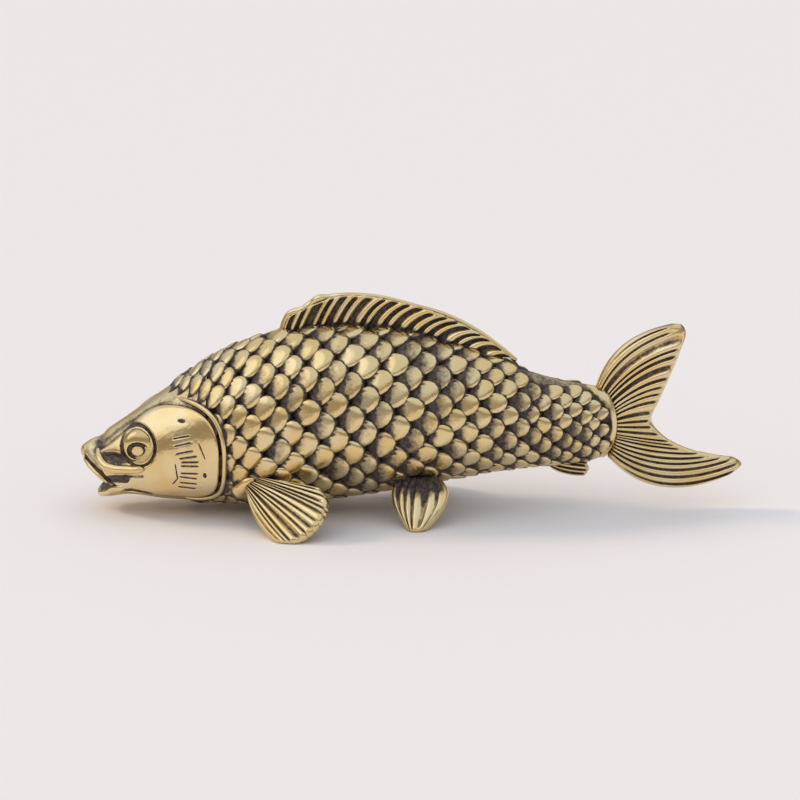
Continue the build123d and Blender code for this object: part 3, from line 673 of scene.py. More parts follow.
def trunk_core():
    """The body as a closed ring mesh, with the rounded end of the trunk."""
    at, angle = np.meshgrid(
        np.linspace(CORE_START, TRUNK_END, 120), np.linspace(-math.pi, math.pi, 97)[:-1], indexing="ij"
    )
    folded = np.where(np.abs(angle) > math.pi / 2, np.sign(angle) * math.pi - angle, angle)
    aside, height = body_ring(at, folded)
    aside = np.where(np.abs(angle) > math.pi / 2, -aside, aside)
    back = height.max(axis=1)[:, None]
    near_top = np.clip((height - back + BARE_BACK_DEPTH + 0.3) / 0.4, 0, 1)
    bare = np.clip((at - BARE_BACK_AT) / 2, 0, 1) * near_top
    collar = np.clip((at - trunk_end(height) + COLLAR_WIDTH) / 0.2, 0, 1)
    bare = np.maximum(bare, collar)
    middle = (back + height.min(axis=1)[:, None]) / 2
    shrink = 1 - CORE_SINK * (1 - bare) / np.hypot(aside, height - middle).clip(0.5)
    near_end = np.clip((at - END_ROUND_AT) / (TRUNK_END - END_ROUND_AT), 0, 1)
    at = at + near_end * (trunk_end(height) - TRUNK_END)
    height = middle + (height - middle) * shrink
    points = np.stack([SNOUT_X + at * MM, aside * shrink * MM, height * MM], axis=-1)
    stain = 1 - 0.5 * bare - 0.35 * collar
    points, stain = (np.concatenate([grid, grid[:, :1]], axis=1) for grid in (points, stain))
    return closed(grid_mesh("trunk_core", points, {"stain": stain}, turned=True))


def closed(mesh):
    """The mesh with its seams merged, its open ends filled and its faces turned outwards."""
    shape = bmesh.new()
    shape.from_mesh(mesh)
    bmesh.ops.remove_doubles(shape, verts=shape.verts, dist=0.001 * MM)
    bmesh.ops.holes_fill(shape, edges=shape.edges)
    bmesh.ops.recalc_face_normals(shape, faces=shape.faces)
    shape.to_mesh(mesh)
    shape.free()
    mesh.shade_smooth()
    return mesh


core = trunk_core()
core.materials.append(SCALE_BRASS)
show("trunk_core", core, "body", "trunk")

# %% [markdown]
# ## Ribbed fins
# All the fins are thin castings with carved rays: rounded ribs with dark grooves between. Each one is
# drawn as a few key rays, from its root over its middle to its tip, and smooth curves fill the sheet in
# between. Every point of the sheet knows how many rays it is across and how far it is from the edge. A
# Geometry Nodes tree turns such a sheet into a fin: thick at the ribs, thin in the grooves, rounded at the
# edge, with both faces closed.

# %% The sheet of a fin
FIN_STEPS = 28  # from root to tip
RAY_STEPS = 10  # from ray to ray
GROOVE_ENDS = (0.93, 1.2)  # share of the length where the grooves end, from the shortest to the longest
GROOVE_FADE = 0.1
GROOVE_STAIN = 0.6
SEAM = 0.002  # mm, points closer than this become one


def fin_sheet(name, key_rays, rays, ribs=(0.6, 0.6), wander=0.2, scallop=0.0, seed=1):
    """A flat fin in mm. Each key ray is a root, a middle and a tip, in the order across the fin.

    The ribs take this share of the breadth at the first ray and at the last, with some chance.
    """
    chance = np.random.default_rng(seed)
    keys = np.array(key_rays, float)
    gaps = np.linalg.norm(np.diff(keys[:, 1] + keys[:, 2], axis=0), axis=1)
    places = np.concatenate([[0], np.cumsum(gaps)]) / gaps.sum()
    across = np.linspace(0, 1, rays * RAY_STEPS + 1)
    count = across * rays
    drift = chance.uniform(-wander, wander, rays + 1)
    drift[[0, -1]] = 0
    phase = count + smooth_curve(count, np.arange(rays + 1), drift)
    smooth = [
        np.stack([smooth_curve(across, places, keys[:, stage, axis]) for axis in range(3)], axis=-1)
        for stage in range(3)
    ]
    root, middle, tip = (stage[:, None, :] for stage in smooth)
    along = np.linspace(0, 1, FIN_STEPS)[None, :, None]
    reach = 1 + scallop * np.cos(2 * math.pi * phase)[:, None, None] * along**3
    share = along * reach
    from_root = (2 * share - 1) * (share - 1)
    from_tip = share * (2 * share - 1)
    points = root * from_root + middle * 4 * share * (1 - share) + tip * from_tip

    def run(axis):
        steps = np.linalg.norm(np.diff(points, axis=axis), axis=-1)
        start = np.zeros_like(steps.take([0], axis=axis))
        return np.concatenate([start, np.cumsum(steps, axis=axis)], axis=axis)

    sideways, outwards = run(0), run(1)
    edge = np.minimum(np.minimum(sideways, sideways[-1:] - sideways), outwards[:, -1:] - outwards)
    edge = np.minimum(edge, outwards)
    breadth = np.linspace(*ribs, rays + 1) * chance.uniform(0.8, 1.2, rays + 1)
    breadth = np.interp(np.round(phase), np.arange(rays + 1), breadth)
    ray, rib = (np.broadcast_to(values[:, None], edge.shape) for values in (phase, breadth))
    ends = chance.uniform(*GROOVE_ENDS, rays + 1)[np.clip(phase, 0, rays).astype(int)]
    outward = np.broadcast_to(along[..., 0], edge.shape)
    cut = np.clip((ends[:, None] - outward) / GROOVE_FADE, 0, 1)
    attributes = {"ray": ray, "rib": rib, "edge": edge * MM, "along": outward, "cut": cut}
    return grid_mesh(name, points * MM + np.array([SNOUT_X, 0, 0]), attributes)


# %% [markdown]
# ## From a sheet to a fin
# The tree moves one copy of the sheet to each side, by half the thickness that the fin has at that point,
# and merges the two along the edge, where the thickness runs out. The grooves are thinner and darker.

# %% From a sheet to a fin


def ribbed_fin_tree():
    """Ribs and grooves on both faces of a sheet, and a rounded edge."""
    tree, given = new_tree(
        "ribbed fin", Thickness="Float", Groove="Float", Rim="Float", Root="Float", Brass="Material"
    )

    off_rib = sums(tree, "ABSOLUTE", sums(tree, "SUBTRACT", sums(tree, "FRACT", named(tree, "ray")), 0.5))
    off_rib = sums(tree, "SUBTRACT", 0.5, off_rib)
    half_rib = sums(tree, "MULTIPLY", named(tree, "rib"), 0.5)
    flank = {"Value": off_rib, "From Min": sums(tree, "MULTIPLY", half_rib, 0.35), "To Min": 0.0}
    flank["From Max"] = sums(tree, "ADD", half_rib, 0.16)
    groove = add_node(tree, "ShaderNodeMapRange", flank, interpolation_type="SMOOTHSTEP").outputs["Result"]
    land = remapped(tree, sums(tree, "DIVIDE", named(tree, "edge"), given["Rim"]), 0.25, 1.0)
    groove = sums(tree, "MULTIPLY", groove, sums(tree, "MULTIPLY", land, named(tree, "cut")))
    body = sums(tree, "SUBTRACT", 1.0, sums(tree, "MULTIPLY", groove, given["Groove"]))
    inset = sums(tree, "MINIMUM", sums(tree, "DIVIDE", named(tree, "edge"), given["Rim"]), 1.0)
    inset = sums(tree, "SUBTRACT", 1.0, inset)
    round_edge = sums(tree, "SQRT", sums(tree, "SUBTRACT", 1.0, sums(tree, "MULTIPLY", inset, inset)))
    half = sums(tree, "MULTIPLY", sums(tree, "MULTIPLY", body, round_edge), given["Thickness"])
    half = sums(tree, "MULTIPLY", half, 0.5)
    normal = add_node(tree, "GeometryNodeInputNormal").outputs[0]
    faces = add_node(tree, "GeometryNodeJoinGeometry")
    for way in (1.0, -1.0):
        offset = scaled(tree, normal, sums(tree, "MULTIPLY", half, way))
        inputs = {"Geometry": given["Geometry"], "Offset": offset}
        face = add_node(tree, "GeometryNodeSetPosition", inputs).outputs[0]
        if way < 0:
            face = add_node(tree, "GeometryNodeFlipFaces", {"Mesh": face}).outputs[0]
        tree.links.new(face, faces.inputs[0])
    near_root = sums(tree, "DIVIDE", named(tree, "along"), sums(tree, "ADD", given["Root"], 0.001))
    dark_root = sums(tree, "MULTIPLY", remapped(tree, near_root, 0.3, 1.0, 0.8, 0.0), land)
    stain = sums(tree, "MULTIPLY_ADD", groove, GROOVE_STAIN, dark_root)
    stained = stored(tree, faces.outputs[0], "stain", stain)
    inputs = {"Geometry": stained, "Distance": SEAM * MM}
    end_tree(tree, add_node(tree, "GeometryNodeMergeByDistance", inputs).outputs[0], given["Brass"])
    return tree


ribbed_fin = ribbed_fin_tree()


def add_fin(name, sheet, nodes, thickness=1.2, groove=0.6, rim=0.45, root=0.0):
    """A finished fin from its sheet, in mm. The root is the share of its length that is dark."""
    flat = new_object("sheet", sheet)
    settings = {"Thickness": thickness * MM, "Groove": groove, "Rim": rim * MM, "Root": root}
    mesh = run_tree(ribbed_fin, flat, Brass=FIN_BRASS, **settings)
    bpy.data.objects.remove(flat)
    for vertex in mesh.vertices:
        vertex.co.z = max(vertex.co.z, 0)
    return show(name, mesh, "fins", *nodes)


# %% [markdown]
# ## Dorsal fin
# The sail on the back rises steeply behind the nape and falls slowly towards the tail. Its ribs lean to the
# rear and stand on a dark root. Key rays are set closer together where its outline bends more.

# %% Dorsal fin
DORSAL_RAYS = [
    [(18.9, 0, 16.2), (19.1, 0, 17.6), (19.5, 0, 18.5)],
    [(20.2, 0, 16.5), (20.7, 0, 18.1), (21.4, 0, 19.5)],
    [(22.4, 0, 16.7), (23.2, 0, 18.8), (24.3, 0, 20.5)],
    [(26.4, 0, 16.7), (27.6, 0, 18.9), (29.2, 0, 20.05)],
    [(30.6, 0, 16.2), (32.0, 0, 17.9), (33.9, 0, 18.6)],
    [(34.6, 0, 15.1), (36.1, 0, 16.4), (37.8, 0, 16.5)],
    [(38.4, 0, 13.9), (39.6, 0, 14.5), (40.5, 0, 14.3)],
]
dorsal = fin_sheet("dorsal", DORSAL_RAYS, 19, (0.6, 0.68), scallop=0.02, seed=4)
add_fin("dorsal_ribs", dorsal, ["dorsal_fin"], groove=0.7, rim=0.25, root=0.4)

# %% [markdown]
# ## Tail fin
# The tail is forked, and its rays fan out from the end of the trunk. Both lobes have rounded tips, so
# several key rays lie close together there.

# %% Tail fin
TAIL_RAYS = [
    [(48.0, 0, 11.7), (50.5, 0, 15.7), (54.9, 0, 17.6)],
    [(48.2, 0, 11.4), (50.9, 0, 15.4), (55.8, 0, 17.7)],
    [(48.4, 0, 11.0), (51.4, 0, 14.8), (56.3, 0, 17.1)],
    [(48.8, 0, 10.3), (52.0, 0, 13.4), (55.8, 0, 15.0)],
    [(49.2, 0, 9.6), (52.1, 0, 11.7), (54.9, 0, 12.6)],
    [(49.5, 0, 8.9), (51.9, 0, 10.0), (54.0, 0, 10.4)],
    [(49.6, 0, 8.2), (51.5, 0, 8.3), (53.3, 0, 8.4)],
    [(49.6, 0, 7.5), (52.1, 0, 7.2), (54.4, 0, 7.0)],
    [(49.6, 0, 6.9), (53.0, 0, 6.1), (56.8, 0, 5.7)],
    [(49.5, 0, 6.3), (54.2, 0, 4.7), (59.6, 0, 5.1)],
    [(49.4, 0, 5.8), (54.7, 0, 3.6), (61.2, 0, 4.8)],
    [(49.3, 0, 5.4), (54.7, 0, 2.7), (61.75, 0, 4.2)],
    [(49.2, 0, 5.0), (54.4, 0, 2.0), (61.0, 0, 3.4)],
]
tail = fin_sheet("tail", TAIL_RAYS, 23, (0.8, 0.8), wander=0.35, seed=2)
add_fin("tail_ribs", tail, ["tail_fin"], groove=0.5, rim=0.5)

# %% [markdown]
# ## Paired fins
# The carp stands on its pectoral and pelvic fins. Both pairs spread outwards and slope down to the floor,
# so each fin is drawn on a slanting plane: how far back from its root, and how far down the slope.

# %% Paired fins
PECTORAL_ROOT = (15.4, 3.9)  # mm behind the snout and above the floor
PECTORAL_SPLAY = 24
PELVIC_ROOT = (31.8, 4.0)
PELVIC_SPLAY = 8
FIN_DIP = 43  # degrees below level
PECTORAL_RAYS = [
    [(0.3, -0.75), (4.0, -0.6), (7.9, -0.3)],
    [(0.3, -0.55), (4.5, 0.1), (9.0, 1.0)],
    [(0.3, -0.2), (4.7, 1.0), (9.2, 2.7)],
    [(0.3, 0.1), (4.5, 2.2), (8.5, 4.6)],
    [(0.4, 0.45), (3.8, 3.3), (7.1, 5.8)],
    [(0.5, 0.8), (2.6, 3.85), (5.7, 6.1)],
]
PELVIC_RAYS = [
    [(1.5, 0.1), (2.75, 2.3), (0.9, 5.95)],
    [(0.7, 0.1), (1.15, 3.0), (0.4, 6.3)],
    [(-0.7, 0.1), (-1.1, 3.0), (-0.3, 6.3)],
    [(-1.5, 0.1), (-2.55, 2.3), (-0.6, 5.95)],
]


def flank_aside(at, height):
    """How far out the flank is at a place in side view."""
    angles = np.linspace(-math.pi / 2, math.pi / 2, 361)
    aside, heights = body_ring(np.full(angles.shape, float(at)), angles)
    return np.interp(height, heights, aside)


def sloping(key_rays, root, splay, side):
    """Key rays on the slanting plane of a paired fin, in space."""
    turn, tilt = math.radians(splay), math.radians(FIN_DIP)
    start = np.array([root[0], flank_aside(*root), root[1]])
    back = np.array([math.cos(turn), math.sin(turn), 0])
    down = np.array([-math.sin(turn) * math.cos(tilt), math.cos(turn) * math.cos(tilt), -math.sin(tilt)])
    places = np.array(key_rays)
    points = start + places[..., :1] * back + places[..., 1:] * down
    return points * np.array([1, side, 1])


for side, word in ((-1, "left"), (1, "right")):
    rays = sloping(PECTORAL_RAYS, PECTORAL_ROOT, PECTORAL_SPLAY, side)
    sheet = fin_sheet("pectoral", rays, 12, (0.66, 1.05), wander=0.35, seed=6)
    add_fin("pectoral_" + word, sheet, ["pectoral_fin_" + word], 1.1, groove=0.5, rim=0.4)
    rays = sloping(PELVIC_RAYS, PELVIC_ROOT, PELVIC_SPLAY, side)
    sheet = fin_sheet("pelvic", rays, 6, (0.95, 0.9), wander=0.35, seed=7)
    add_fin("pelvic_" + word, sheet, ["pelvic_fin_" + word], 1.3, groove=0.3, rim=0.6, root=0.65)

# %% [markdown]
# ## Anal fin
# A low leaf under the root of the tail, close to the belly. A few key rays are enough for it.

# %% Anal fin
ANAL_RAYS = [
    [(43.2, 0, 4.9), (45.2, 0, 4.75), (47.3, 0, 4.4)],
    [(43.2, 0, 4.8), (45.0, 0, 4.1), (47.5, 0, 3.75)],
    [(43.2, 0, 4.65), (44.7, 0, 3.45), (47.1, 0, 3.1)],
]
add_fin("anal_leaf", fin_sheet("anal", ANAL_RAYS, 3, (0.7, 0.7), seed=2), ["anal_fin"], 0.9, rim=0.3)

# %% [markdown]
# ## Head
# The head is smooth metal with carved lines: the mouth, the cheek plates with their short strokes, a
# groove round each eye. Such a soft, carved form is easiest to get from the solids themselves. A voxel
# remesh turns a copy of a solid into an even skin of small faces with softened edges, and the carving is
# then a matter of pushing the skin's points in, by a rule that depends on where they are in side view.

# %% Recast a solid
VOXEL = 0.09  # mm
SOFTEN_ROUNDS = 4


def recast(node):
    """A copy of a solid as an even skin with softened edges."""
    shape = bmesh.new()
    shape.from_mesh(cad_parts[node].data)
    bmesh.ops.remove_doubles(shape, verts=shape.verts, dist=0.002 * MM)
    mesh = bpy.data.meshes.new(node)
    shape.to_mesh(mesh)
    shape.free()
    copy = new_object("copy", mesh)
    remesh = copy.modifiers.new("remesh", "REMESH")
    remesh.mode = "VOXEL"
    remesh.voxel_size = VOXEL * MM
    soften = copy.modifiers.new("soften", "SMOOTH")
    soften.factor = 0.5
    soften.iterations = SOFTEN_ROUNDS
    graph = bpy.context.evaluated_depsgraph_get()
    skin = bpy.data.meshes.new_from_object(copy.evaluated_get(graph), depsgraph=graph)
    bpy.data.objects.remove(copy)
    skin.shade_smooth()
    return skin


def vertex_values(mesh, name, size):
    """The points or the normals of a mesh as an array."""
    values = np.empty(len(mesh.vertices) * size)
    mesh.vertices.foreach_get(name, values)
    return values.reshape(-1, size)


def carve(mesh, rule):
    """Pushes points in along their normals, and gives them stain and painted shade, by a rule."""
    points = vertex_values(mesh, "co", 3)
    normals = vertex_values(mesh, "normal", 3)
    at, height = (points[:, 0] - SNOUT_X) / MM, points[:, 2] / MM
    depth, stain = rule(at, height, normals)
    points -= normals * depth[:, None] * MM
    mesh.vertices.foreach_set("co", points.ravel())
    mesh.attributes.new("stain", "FLOAT", "POINT").data.foreach_set("value", np.clip(stain, 0, 1))
    mesh.update()
    return mesh


def sideways(normals):
    """1 where the skin faces a side, falling to 0 where it faces up, down or ahead."""
    return np.clip(np.abs(normals[:, 1]) * 2, 0, 1)


def groove(at, height, line, half_width, depth):
    """A rounded groove along a line in side view, which fades at both ends."""
    places = np.array(line, float)
    lengths = np.concatenate([[0], np.cumsum(np.hypot(*np.diff(places, axis=0).T))])
    best = np.full(at.shape, np.inf)
    share = np.zeros(at.shape)
    for start, end, low, high in zip(places, places[1:], lengths, lengths[1:]):
        run = end - start
        along = np.clip(((at - start[0]) * run[0] + (height - start[1]) * run[1]) / run.dot(run), 0, 1)
        off = np.hypot(at - start[0] - along * run[0], height - start[1] - along * run[1])
        share = np.where(off < best, (low + along * (high - low)) / lengths[-1], share)
        best = np.minimum(best, off)
    fade = np.clip(np.minimum(share, 1 - share) * 6 + 0.3, 0, 1)
    return depth * fade * np.exp(-((best / half_width) ** 2))


def pit(at, height, centre, halves, depth):
    """A rounded hollow in side view."""
    return depth * np.exp(-(((at - centre[0]) / halves[0]) ** 2) - ((height - centre[1]) / halves[1]) ** 2)


# %% [markdown]
# ## Lines of the face
# A chaser cuts the lines of the face with a few punches: strokes and scratches on the gill plate, pits, the
# corner of the mouth and a groove round the eye. Each is written as a line in side view, with a half width
# and a depth in mm. The depth also sets how dark a line is, because patina stays in hollows.

# %% Lines of the face
EYE_AT, EYE_HEIGHT = 5.65, 7.1
EYE_LONG, EYE_TALL = 1.37, 1.55  # half sizes
STROKE_LENGTH = 1.75
STROKES = [  # centre behind the snout, height, lean in degrees
    (9.7, 8.3, 15), (9.8, 7.65, 17), (10.0, 6.95, 15), (10.35, 6.5, 12), (10.5, 6.05, 4),
    (10.45, 5.65, 2), (10.4, 4.9, 1), (10.3, 4.45, -5), (10.3, 3.85, -4), (10.15, 3.35, -6),
]
MOUTH_AT, MOUTH_HEIGHT = 2.9, 2.75
MOUTH_SLOPE = 0.75  # of the roof of the mouth, up to the snout
BROW_LINE = [(1.9, 6.55), (3.1, 7.6), (4.4, 8.55), (5.8, 9.4), (7.3, 10.4), (8.4, 11.05)]


def face_carving(at, height):
    """The depth of the lines on the side of the face, on the cheek plate and on the skull alike."""
    depth = groove(at, height, [(2.6, 3.6), (3.6, 3.85), (4.8, 3.85)], 0.38, 0.32)
    depth += groove(at, height, [(4.2, 4.15), (6.3, 4.35)], 0.16, 0.12)
    depth += groove(at, height, [(3.0, 2.3), (4.9, 2.75), (7.0, 2.35)], 0.14, 0.22)
    depth += pit(at, height, (3.5, 5.8), (1.15, 0.38), 0.42)
    return depth


def cheek_carving(at, height):
    """The gill strokes, two pits and two scratches, besides the lines of the face."""
    depth = np.zeros_like(at)
    for centre, level, lean in STROKES:
        half = Vector((math.cos(math.radians(lean)), math.sin(math.radians(lean)))) * STROKE_LENGTH / 2
        ends = [(centre - half.x, level - half.y), (centre + half.x, level + half.y)]
        depth += groove(at, height, ends, 0.09, 0.06)
    depth += groove(at, height, [(9.1, 5.9), (9.3, 4.3), (8.75, 3.6)], 0.07, 0.06)
    depth += groove(at, height, [(11.3, 8.0), (11.95, 6.3)], 0.07, 0.05)
    depth += pit(at, height, (9.7, 9.7), (0.35, 0.16), 0.07)
    depth += pit(at, height, (11.85, 4.75), (0.14, 0.22), 0.1)
    out = np.hypot((at - EYE_AT) / EYE_LONG, (height - EYE_HEIGHT) / EYE_TALL)
    behind = np.clip((at - EYE_AT) * 0.7 + (height - EYE_HEIGHT) * 0.35 + 0.9, 0.45, 1)
    orbit = 0.28 * behind * np.exp(-(((out - 1.15) / 0.1) ** 2))
    wide = orbit + face_carving(at, height)
    shade = pit(at, height, (3.6, 6.6), (1.3, 0.6), 0.3)
    return depth + wide, depth * 20 + wide * 4.5 + shade


def skull_carving(at, height, normals):
    """A waist behind the snout, a groove beside the upper lip, a dark mouth, and painted shade on the sides
    of the skull.
    """
    depth = face_carving(at, height) * sideways(normals)
    above_mouth = (height - MOUTH_HEIGHT - MOUTH_SLOPE * (MOUTH_AT - at)) / math.hypot(1, MOUTH_SLOPE)
    beside_lip = np.exp(-(((above_mouth - 0.5) / 0.16) ** 2)) * (at < MOUTH_AT) * (at > 0.45)
    waist = np.exp(-(((at - 1.85) / 0.5) ** 2)) * np.clip((height - 5.6) / 0.5, 0, 1)
    brow = groove(at, height, BROW_LINE, 0.15, 0.1)
    roof = (above_mouth < 0.15) & (normals[:, 2] < -0.35) & (normals[:, 0] < -0.1) & (at < MOUTH_AT + 0.2)
    floor = (height < MOUTH_HEIGHT + 0.2) & (normals[:, 2] > 0.4) & (at < MOUTH_AT + 0.2)
    throat = (np.abs(height - MOUTH_HEIGHT) < 0.4) & (normals[:, 0] < -0.5) & (np.abs(at - MOUTH_AT) < 0.4)
    # Besides the patina, the whole skull is darkened a little, and more where its skin faces a side: this is
    # painted shade, which keeps the skull darker than the cheek plates.
    stain = depth * 4.5 + 0.9 * beside_lip + 0.25 * waist + 2.0 * brow + 1.0 * (roof | floor | throat) + 0.12
    stain += 0.14 * sideways(normals)
    return depth + 0.2 * beside_lip * sideways(normals) + 0.2 * waist + brow, stain


# %% [markdown]
# ## Cheek plates
# The plate over the gills is smooth and finely carved. A voxel skin would leave small steps along its edge,
# so the plate is a polar grid instead, in rings from its middle to its edge. Rays find the edge and the
# height of the plate on the solid.

# %% Cheek plates
PLATE_AT, PLATE_HEIGHT = 8.0, 6.0  # a place near the middle of the plate
PLATE_RINGS = 84
PLATE_SPOKES = 300
PLATE_SKIRT = 1.0  # mm, how deep its edge reaches into the skull
PLATE_ROUND = 0.14  # mm, how far the edge is rounded off
PLATE_ROUND_FROM = 0.965  # share of the way out, where the rounding begins
SOCKET_RADIUS = 1.75
plate_solid = joined_solids("gill_cover_left")


def plate_aside(at, height):
    """How far out the plate is at a place in side view, or nothing beside it."""
    hit = plate_solid.ray_cast(Vector((SNOUT_X + at * MM, -FAR, height * MM)), Vector((0, 1, 0)))[0]
    return None if hit is None else -hit.y / MM


def plate_reach(turn):
    """The distance from the middle of the plate to its edge, in one direction in side view."""
    step, reach = 0.4, 9.0
    while step > 0.004:
        while plate_aside(PLATE_AT + reach * math.cos(turn), PLATE_HEIGHT + reach * math.sin(turn)) is None:
            reach -= step
        reach += step
        step /= 4
    return reach - 4 * step


def smooth_plate(at, height):
    """How far out the plate is, with its eye socket bridged from points round the socket."""
    turns = np.linspace(0, 2 * math.pi, 24, endpoint=False)
    socket = [
        (EYE_AT + SOCKET_RADIUS * math.cos(turn), EYE_HEIGHT + SOCKET_RADIUS * math.sin(turn))
        for turn in turns
    ]
    rim = np.array([(*place, plate_aside(*place)) for place in socket if plate_aside(*place) is not None])
    fit = np.linalg.lstsq(np.column_stack([rim[:, :2], np.ones(len(rim))]), rim[:, 2], rcond=None)[0]
    aside = np.empty(at.shape)
    for index in np.ndindex(at.shape):
        out = math.hypot(at[index] - EYE_AT, height[index] - EYE_HEIGHT)
        found = plate_aside(at[index], height[index]) if out > SOCKET_RADIUS else None
        aside[index] = fit @ (at[index], height[index], 1) if found is None else found
    return aside


def plate_mesh(side, places, aside):
    """A carved plate with a rounded edge and a skirt that sinks into the skull."""
    at, height = places
    depth, stain = cheek_carving(at, height)
    share = np.linspace(0, 1, PLATE_RINGS)[:, None]
    rounding = PLATE_ROUND * np.clip((share - PLATE_ROUND_FROM) / (1 - PLATE_ROUND_FROM), 0, 1) ** 2
    aside = aside - depth - rounding
    at, height, stain, aside = (np.concatenate([grid, grid[-1:]]) for grid in (at, height, stain, aside))
    aside[-1] -= PLATE_SKIRT
    points = np.stack([SNOUT_X + at * MM, side * aside * MM, height * MM], axis=-1)
    return closed(grid_mesh("cheek", points, {"stain": np.clip(stain, 0, 1)}, turned=side < 0))


def add_skin(name, mesh, material, slot, node):
    """A finished skin in place of its solid."""
    mesh.materials.append(material)
    show(name, mesh, slot, node)


spokes = np.linspace(0, 2 * math.pi, PLATE_SPOKES + 1)
reach = np.array([plate_reach(turn) for turn in spokes])
ring = np.linspace(0.002, 0.998, PLATE_RINGS)[:, None]
plate_places = PLATE_AT + ring * reach * np.cos(spokes), PLATE_HEIGHT + ring * reach * np.sin(spokes)
plate_out = smooth_plate(*plate_places)
for side, word in ((-1, "left"), (1, "right")):
    cheek = plate_mesh(side, plate_places, plate_out)
    add_skin("cheek_" + word, cheek, CHEEK_BRASS, "head", "gill_cover_" + word)

# %% [markdown]
# ## Skull
# The snout, the brow and the jaws run into each other without an edge, so here the voxel skin is right.

# %% Skull
add_skin("skull", carve(recast("head"), skull_carving), BROW_BRASS, "head", "head")

# %% [markdown]
# ## Eyes
# Each eye is a low dome with a dark ring sunk round the pupil. It is a polar grid about the pupil, so that
# the rings of the mesh follow the rings of the eye.

# %% Eyes
EYE_RINGS = 26
EYE_SPOKES = 48
PUPIL_AT, PUPIL_HEIGHT, PUPIL_RADIUS = 5.6, 6.75, 0.5
IRIS_LONG, IRIS_TALL = 1.05, 0.87
EYE_PROUD = 0.6
EYE_SEAT = 0.9  # mm, how deep the eye reaches below its rim
EYE_RIM_PROUD = 0.35  # mm beyond the flank
IRIS_DEPTH = 0.3
IRIS_EDGES = (0.14, 0.1)  # breadth of the slopes at the outer and the inner edge of the ring
face_solids = joined_solids("head", "gill_cover_left")


def face_aside(at, height):
    """How far out the face is at a place in side view, with its cheek plate."""
    hit = face_solids.ray_cast(Vector((SNOUT_X + at * MM, -FAR, height * MM)), Vector((0, 1, 0)))[0]
    return -hit.y / MM


def eye_mesh(side):
    """A dome with a dark ring sunk round the pupil."""
    share, turn = np.meshgrid(
        np.linspace(0, 1, EYE_RINGS), np.linspace(0, 2 * math.pi, EYE_SPOKES + 1), indexing="ij"
    )
    rim_at = EYE_AT + EYE_LONG * np.cos(turn)
    rim_height = EYE_HEIGHT + EYE_TALL * np.sin(turn)
    at = PUPIL_AT + (rim_at - PUPIL_AT) * share
    height = PUPIL_HEIGHT + (rim_height - PUPIL_HEIGHT) * share
    out = np.hypot((at - EYE_AT) / EYE_LONG, (height - EYE_HEIGHT) / EYE_TALL)
    dome = EYE_PROUD * np.sqrt(np.clip(1 - out**2, 0, 1))
    ring = np.hypot((at - PUPIL_AT) / IRIS_LONG, (height - PUPIL_HEIGHT) / IRIS_TALL)
    sunk = np.clip((1.0 - ring) / IRIS_EDGES[0], 0, 1) * np.clip((ring - PUPIL_RADIUS) / IRIS_EDGES[1], 0, 1)
    face = flank_aside(EYE_AT, EYE_HEIGHT) + EYE_RIM_PROUD
    proud = face + dome - IRIS_DEPTH * sunk
    proud = np.where(share >= 1, face - EYE_SEAT, proud)
    points = np.stack([SNOUT_X + at * MM, side * proud * MM, height * MM], axis=-1)
    return closed(grid_mesh("eye", points, {"stain": sunk}, turned=side < 0))


for side, word in ((-1, "left"), (1, "right")):
    add_skin("eyeball_" + word, eye_mesh(side), CHEEK_BRASS, "trim", "eye_" + word)

# %% [markdown]
# ## Rounded bars
# The lips, the bones of the upper jaw, the rims behind the cheek plates, the knuckles of the pectoral fins
# and the rolled edge of the dorsal fin are rounded bars that follow a line. A curve with a round bevel and
# a radius at every point makes such a bar, and it becomes a mesh when it is done.

# %% Rounded bars


def bar(name, points, radii, slot, nodes=(), material=CHEEK_BRASS):
    """A rounded bar through points in mm, with a radius at each, closed at both ends."""
    curve = bpy.data.curves.new(name, "CURVE")
    curve.dimensions = "3D"
    curve.bevel_depth = MM
    curve.bevel_resolution = 5
    curve.resolution_u = 8
    curve.use_fill_caps = True
    spline = curve.splines.new("BEZIER")
    spline.bezier_points.add(len(points) - 1)
    for knot, place, radius in zip(spline.bezier_points, points, radii):
        knot.co = Vector(place) * MM + Vector((SNOUT_X, 0, 0))
        knot.handle_left_type = "AUTO"
        knot.handle_right_type = "AUTO"
        knot.radius = radius
    line = new_object("line", curve)
    graph = bpy.context.evaluated_depsgraph_get()
    mesh = bpy.data.meshes.new_from_object(line.evaluated_get(graph), depsgraph=graph)
    bpy.data.objects.remove(line)
    mesh = closed(mesh)
    mesh.materials.clear()
    mesh.materials.append(material)
    return show(name, mesh, slot, *nodes)


def on_face(line, side):
    """A line in side view, laid on one side of the face, with how far each point stands out."""
    return [(at, side * (face_aside(at, height) + proud), height) for at, height, proud in line]


# %% [markdown]
# ## Jaw bones and lips
# A bent bar lies beside the upper jaw, from below the eye up to the snout, and a thin roll of metal edges
# each lip. Their lines are drawn in side view, and rays lay them on the face.

# %% Jaw bones and lips
JAW_BONE = [
    (1.75, 6.1, -0.2), (1.95, 5.55, 0.05), (2.35, 5.1, 0.2), (3.2, 4.9, 0.28), (4.6, 4.95, 0.26),
    (5.8, 5.05, 0.15), (6.25, 5.08, -0.1),
]
JAW_BONE_RADII = [0.22, 0.38, 0.43, 0.42, 0.4, 0.34, 0.15]
for side, word in ((-1, "left"), (1, "right")):
    bar("jaw_bone_" + word, on_face(JAW_BONE, side), JAW_BONE_RADII, "trim", ["barbel_" + word])

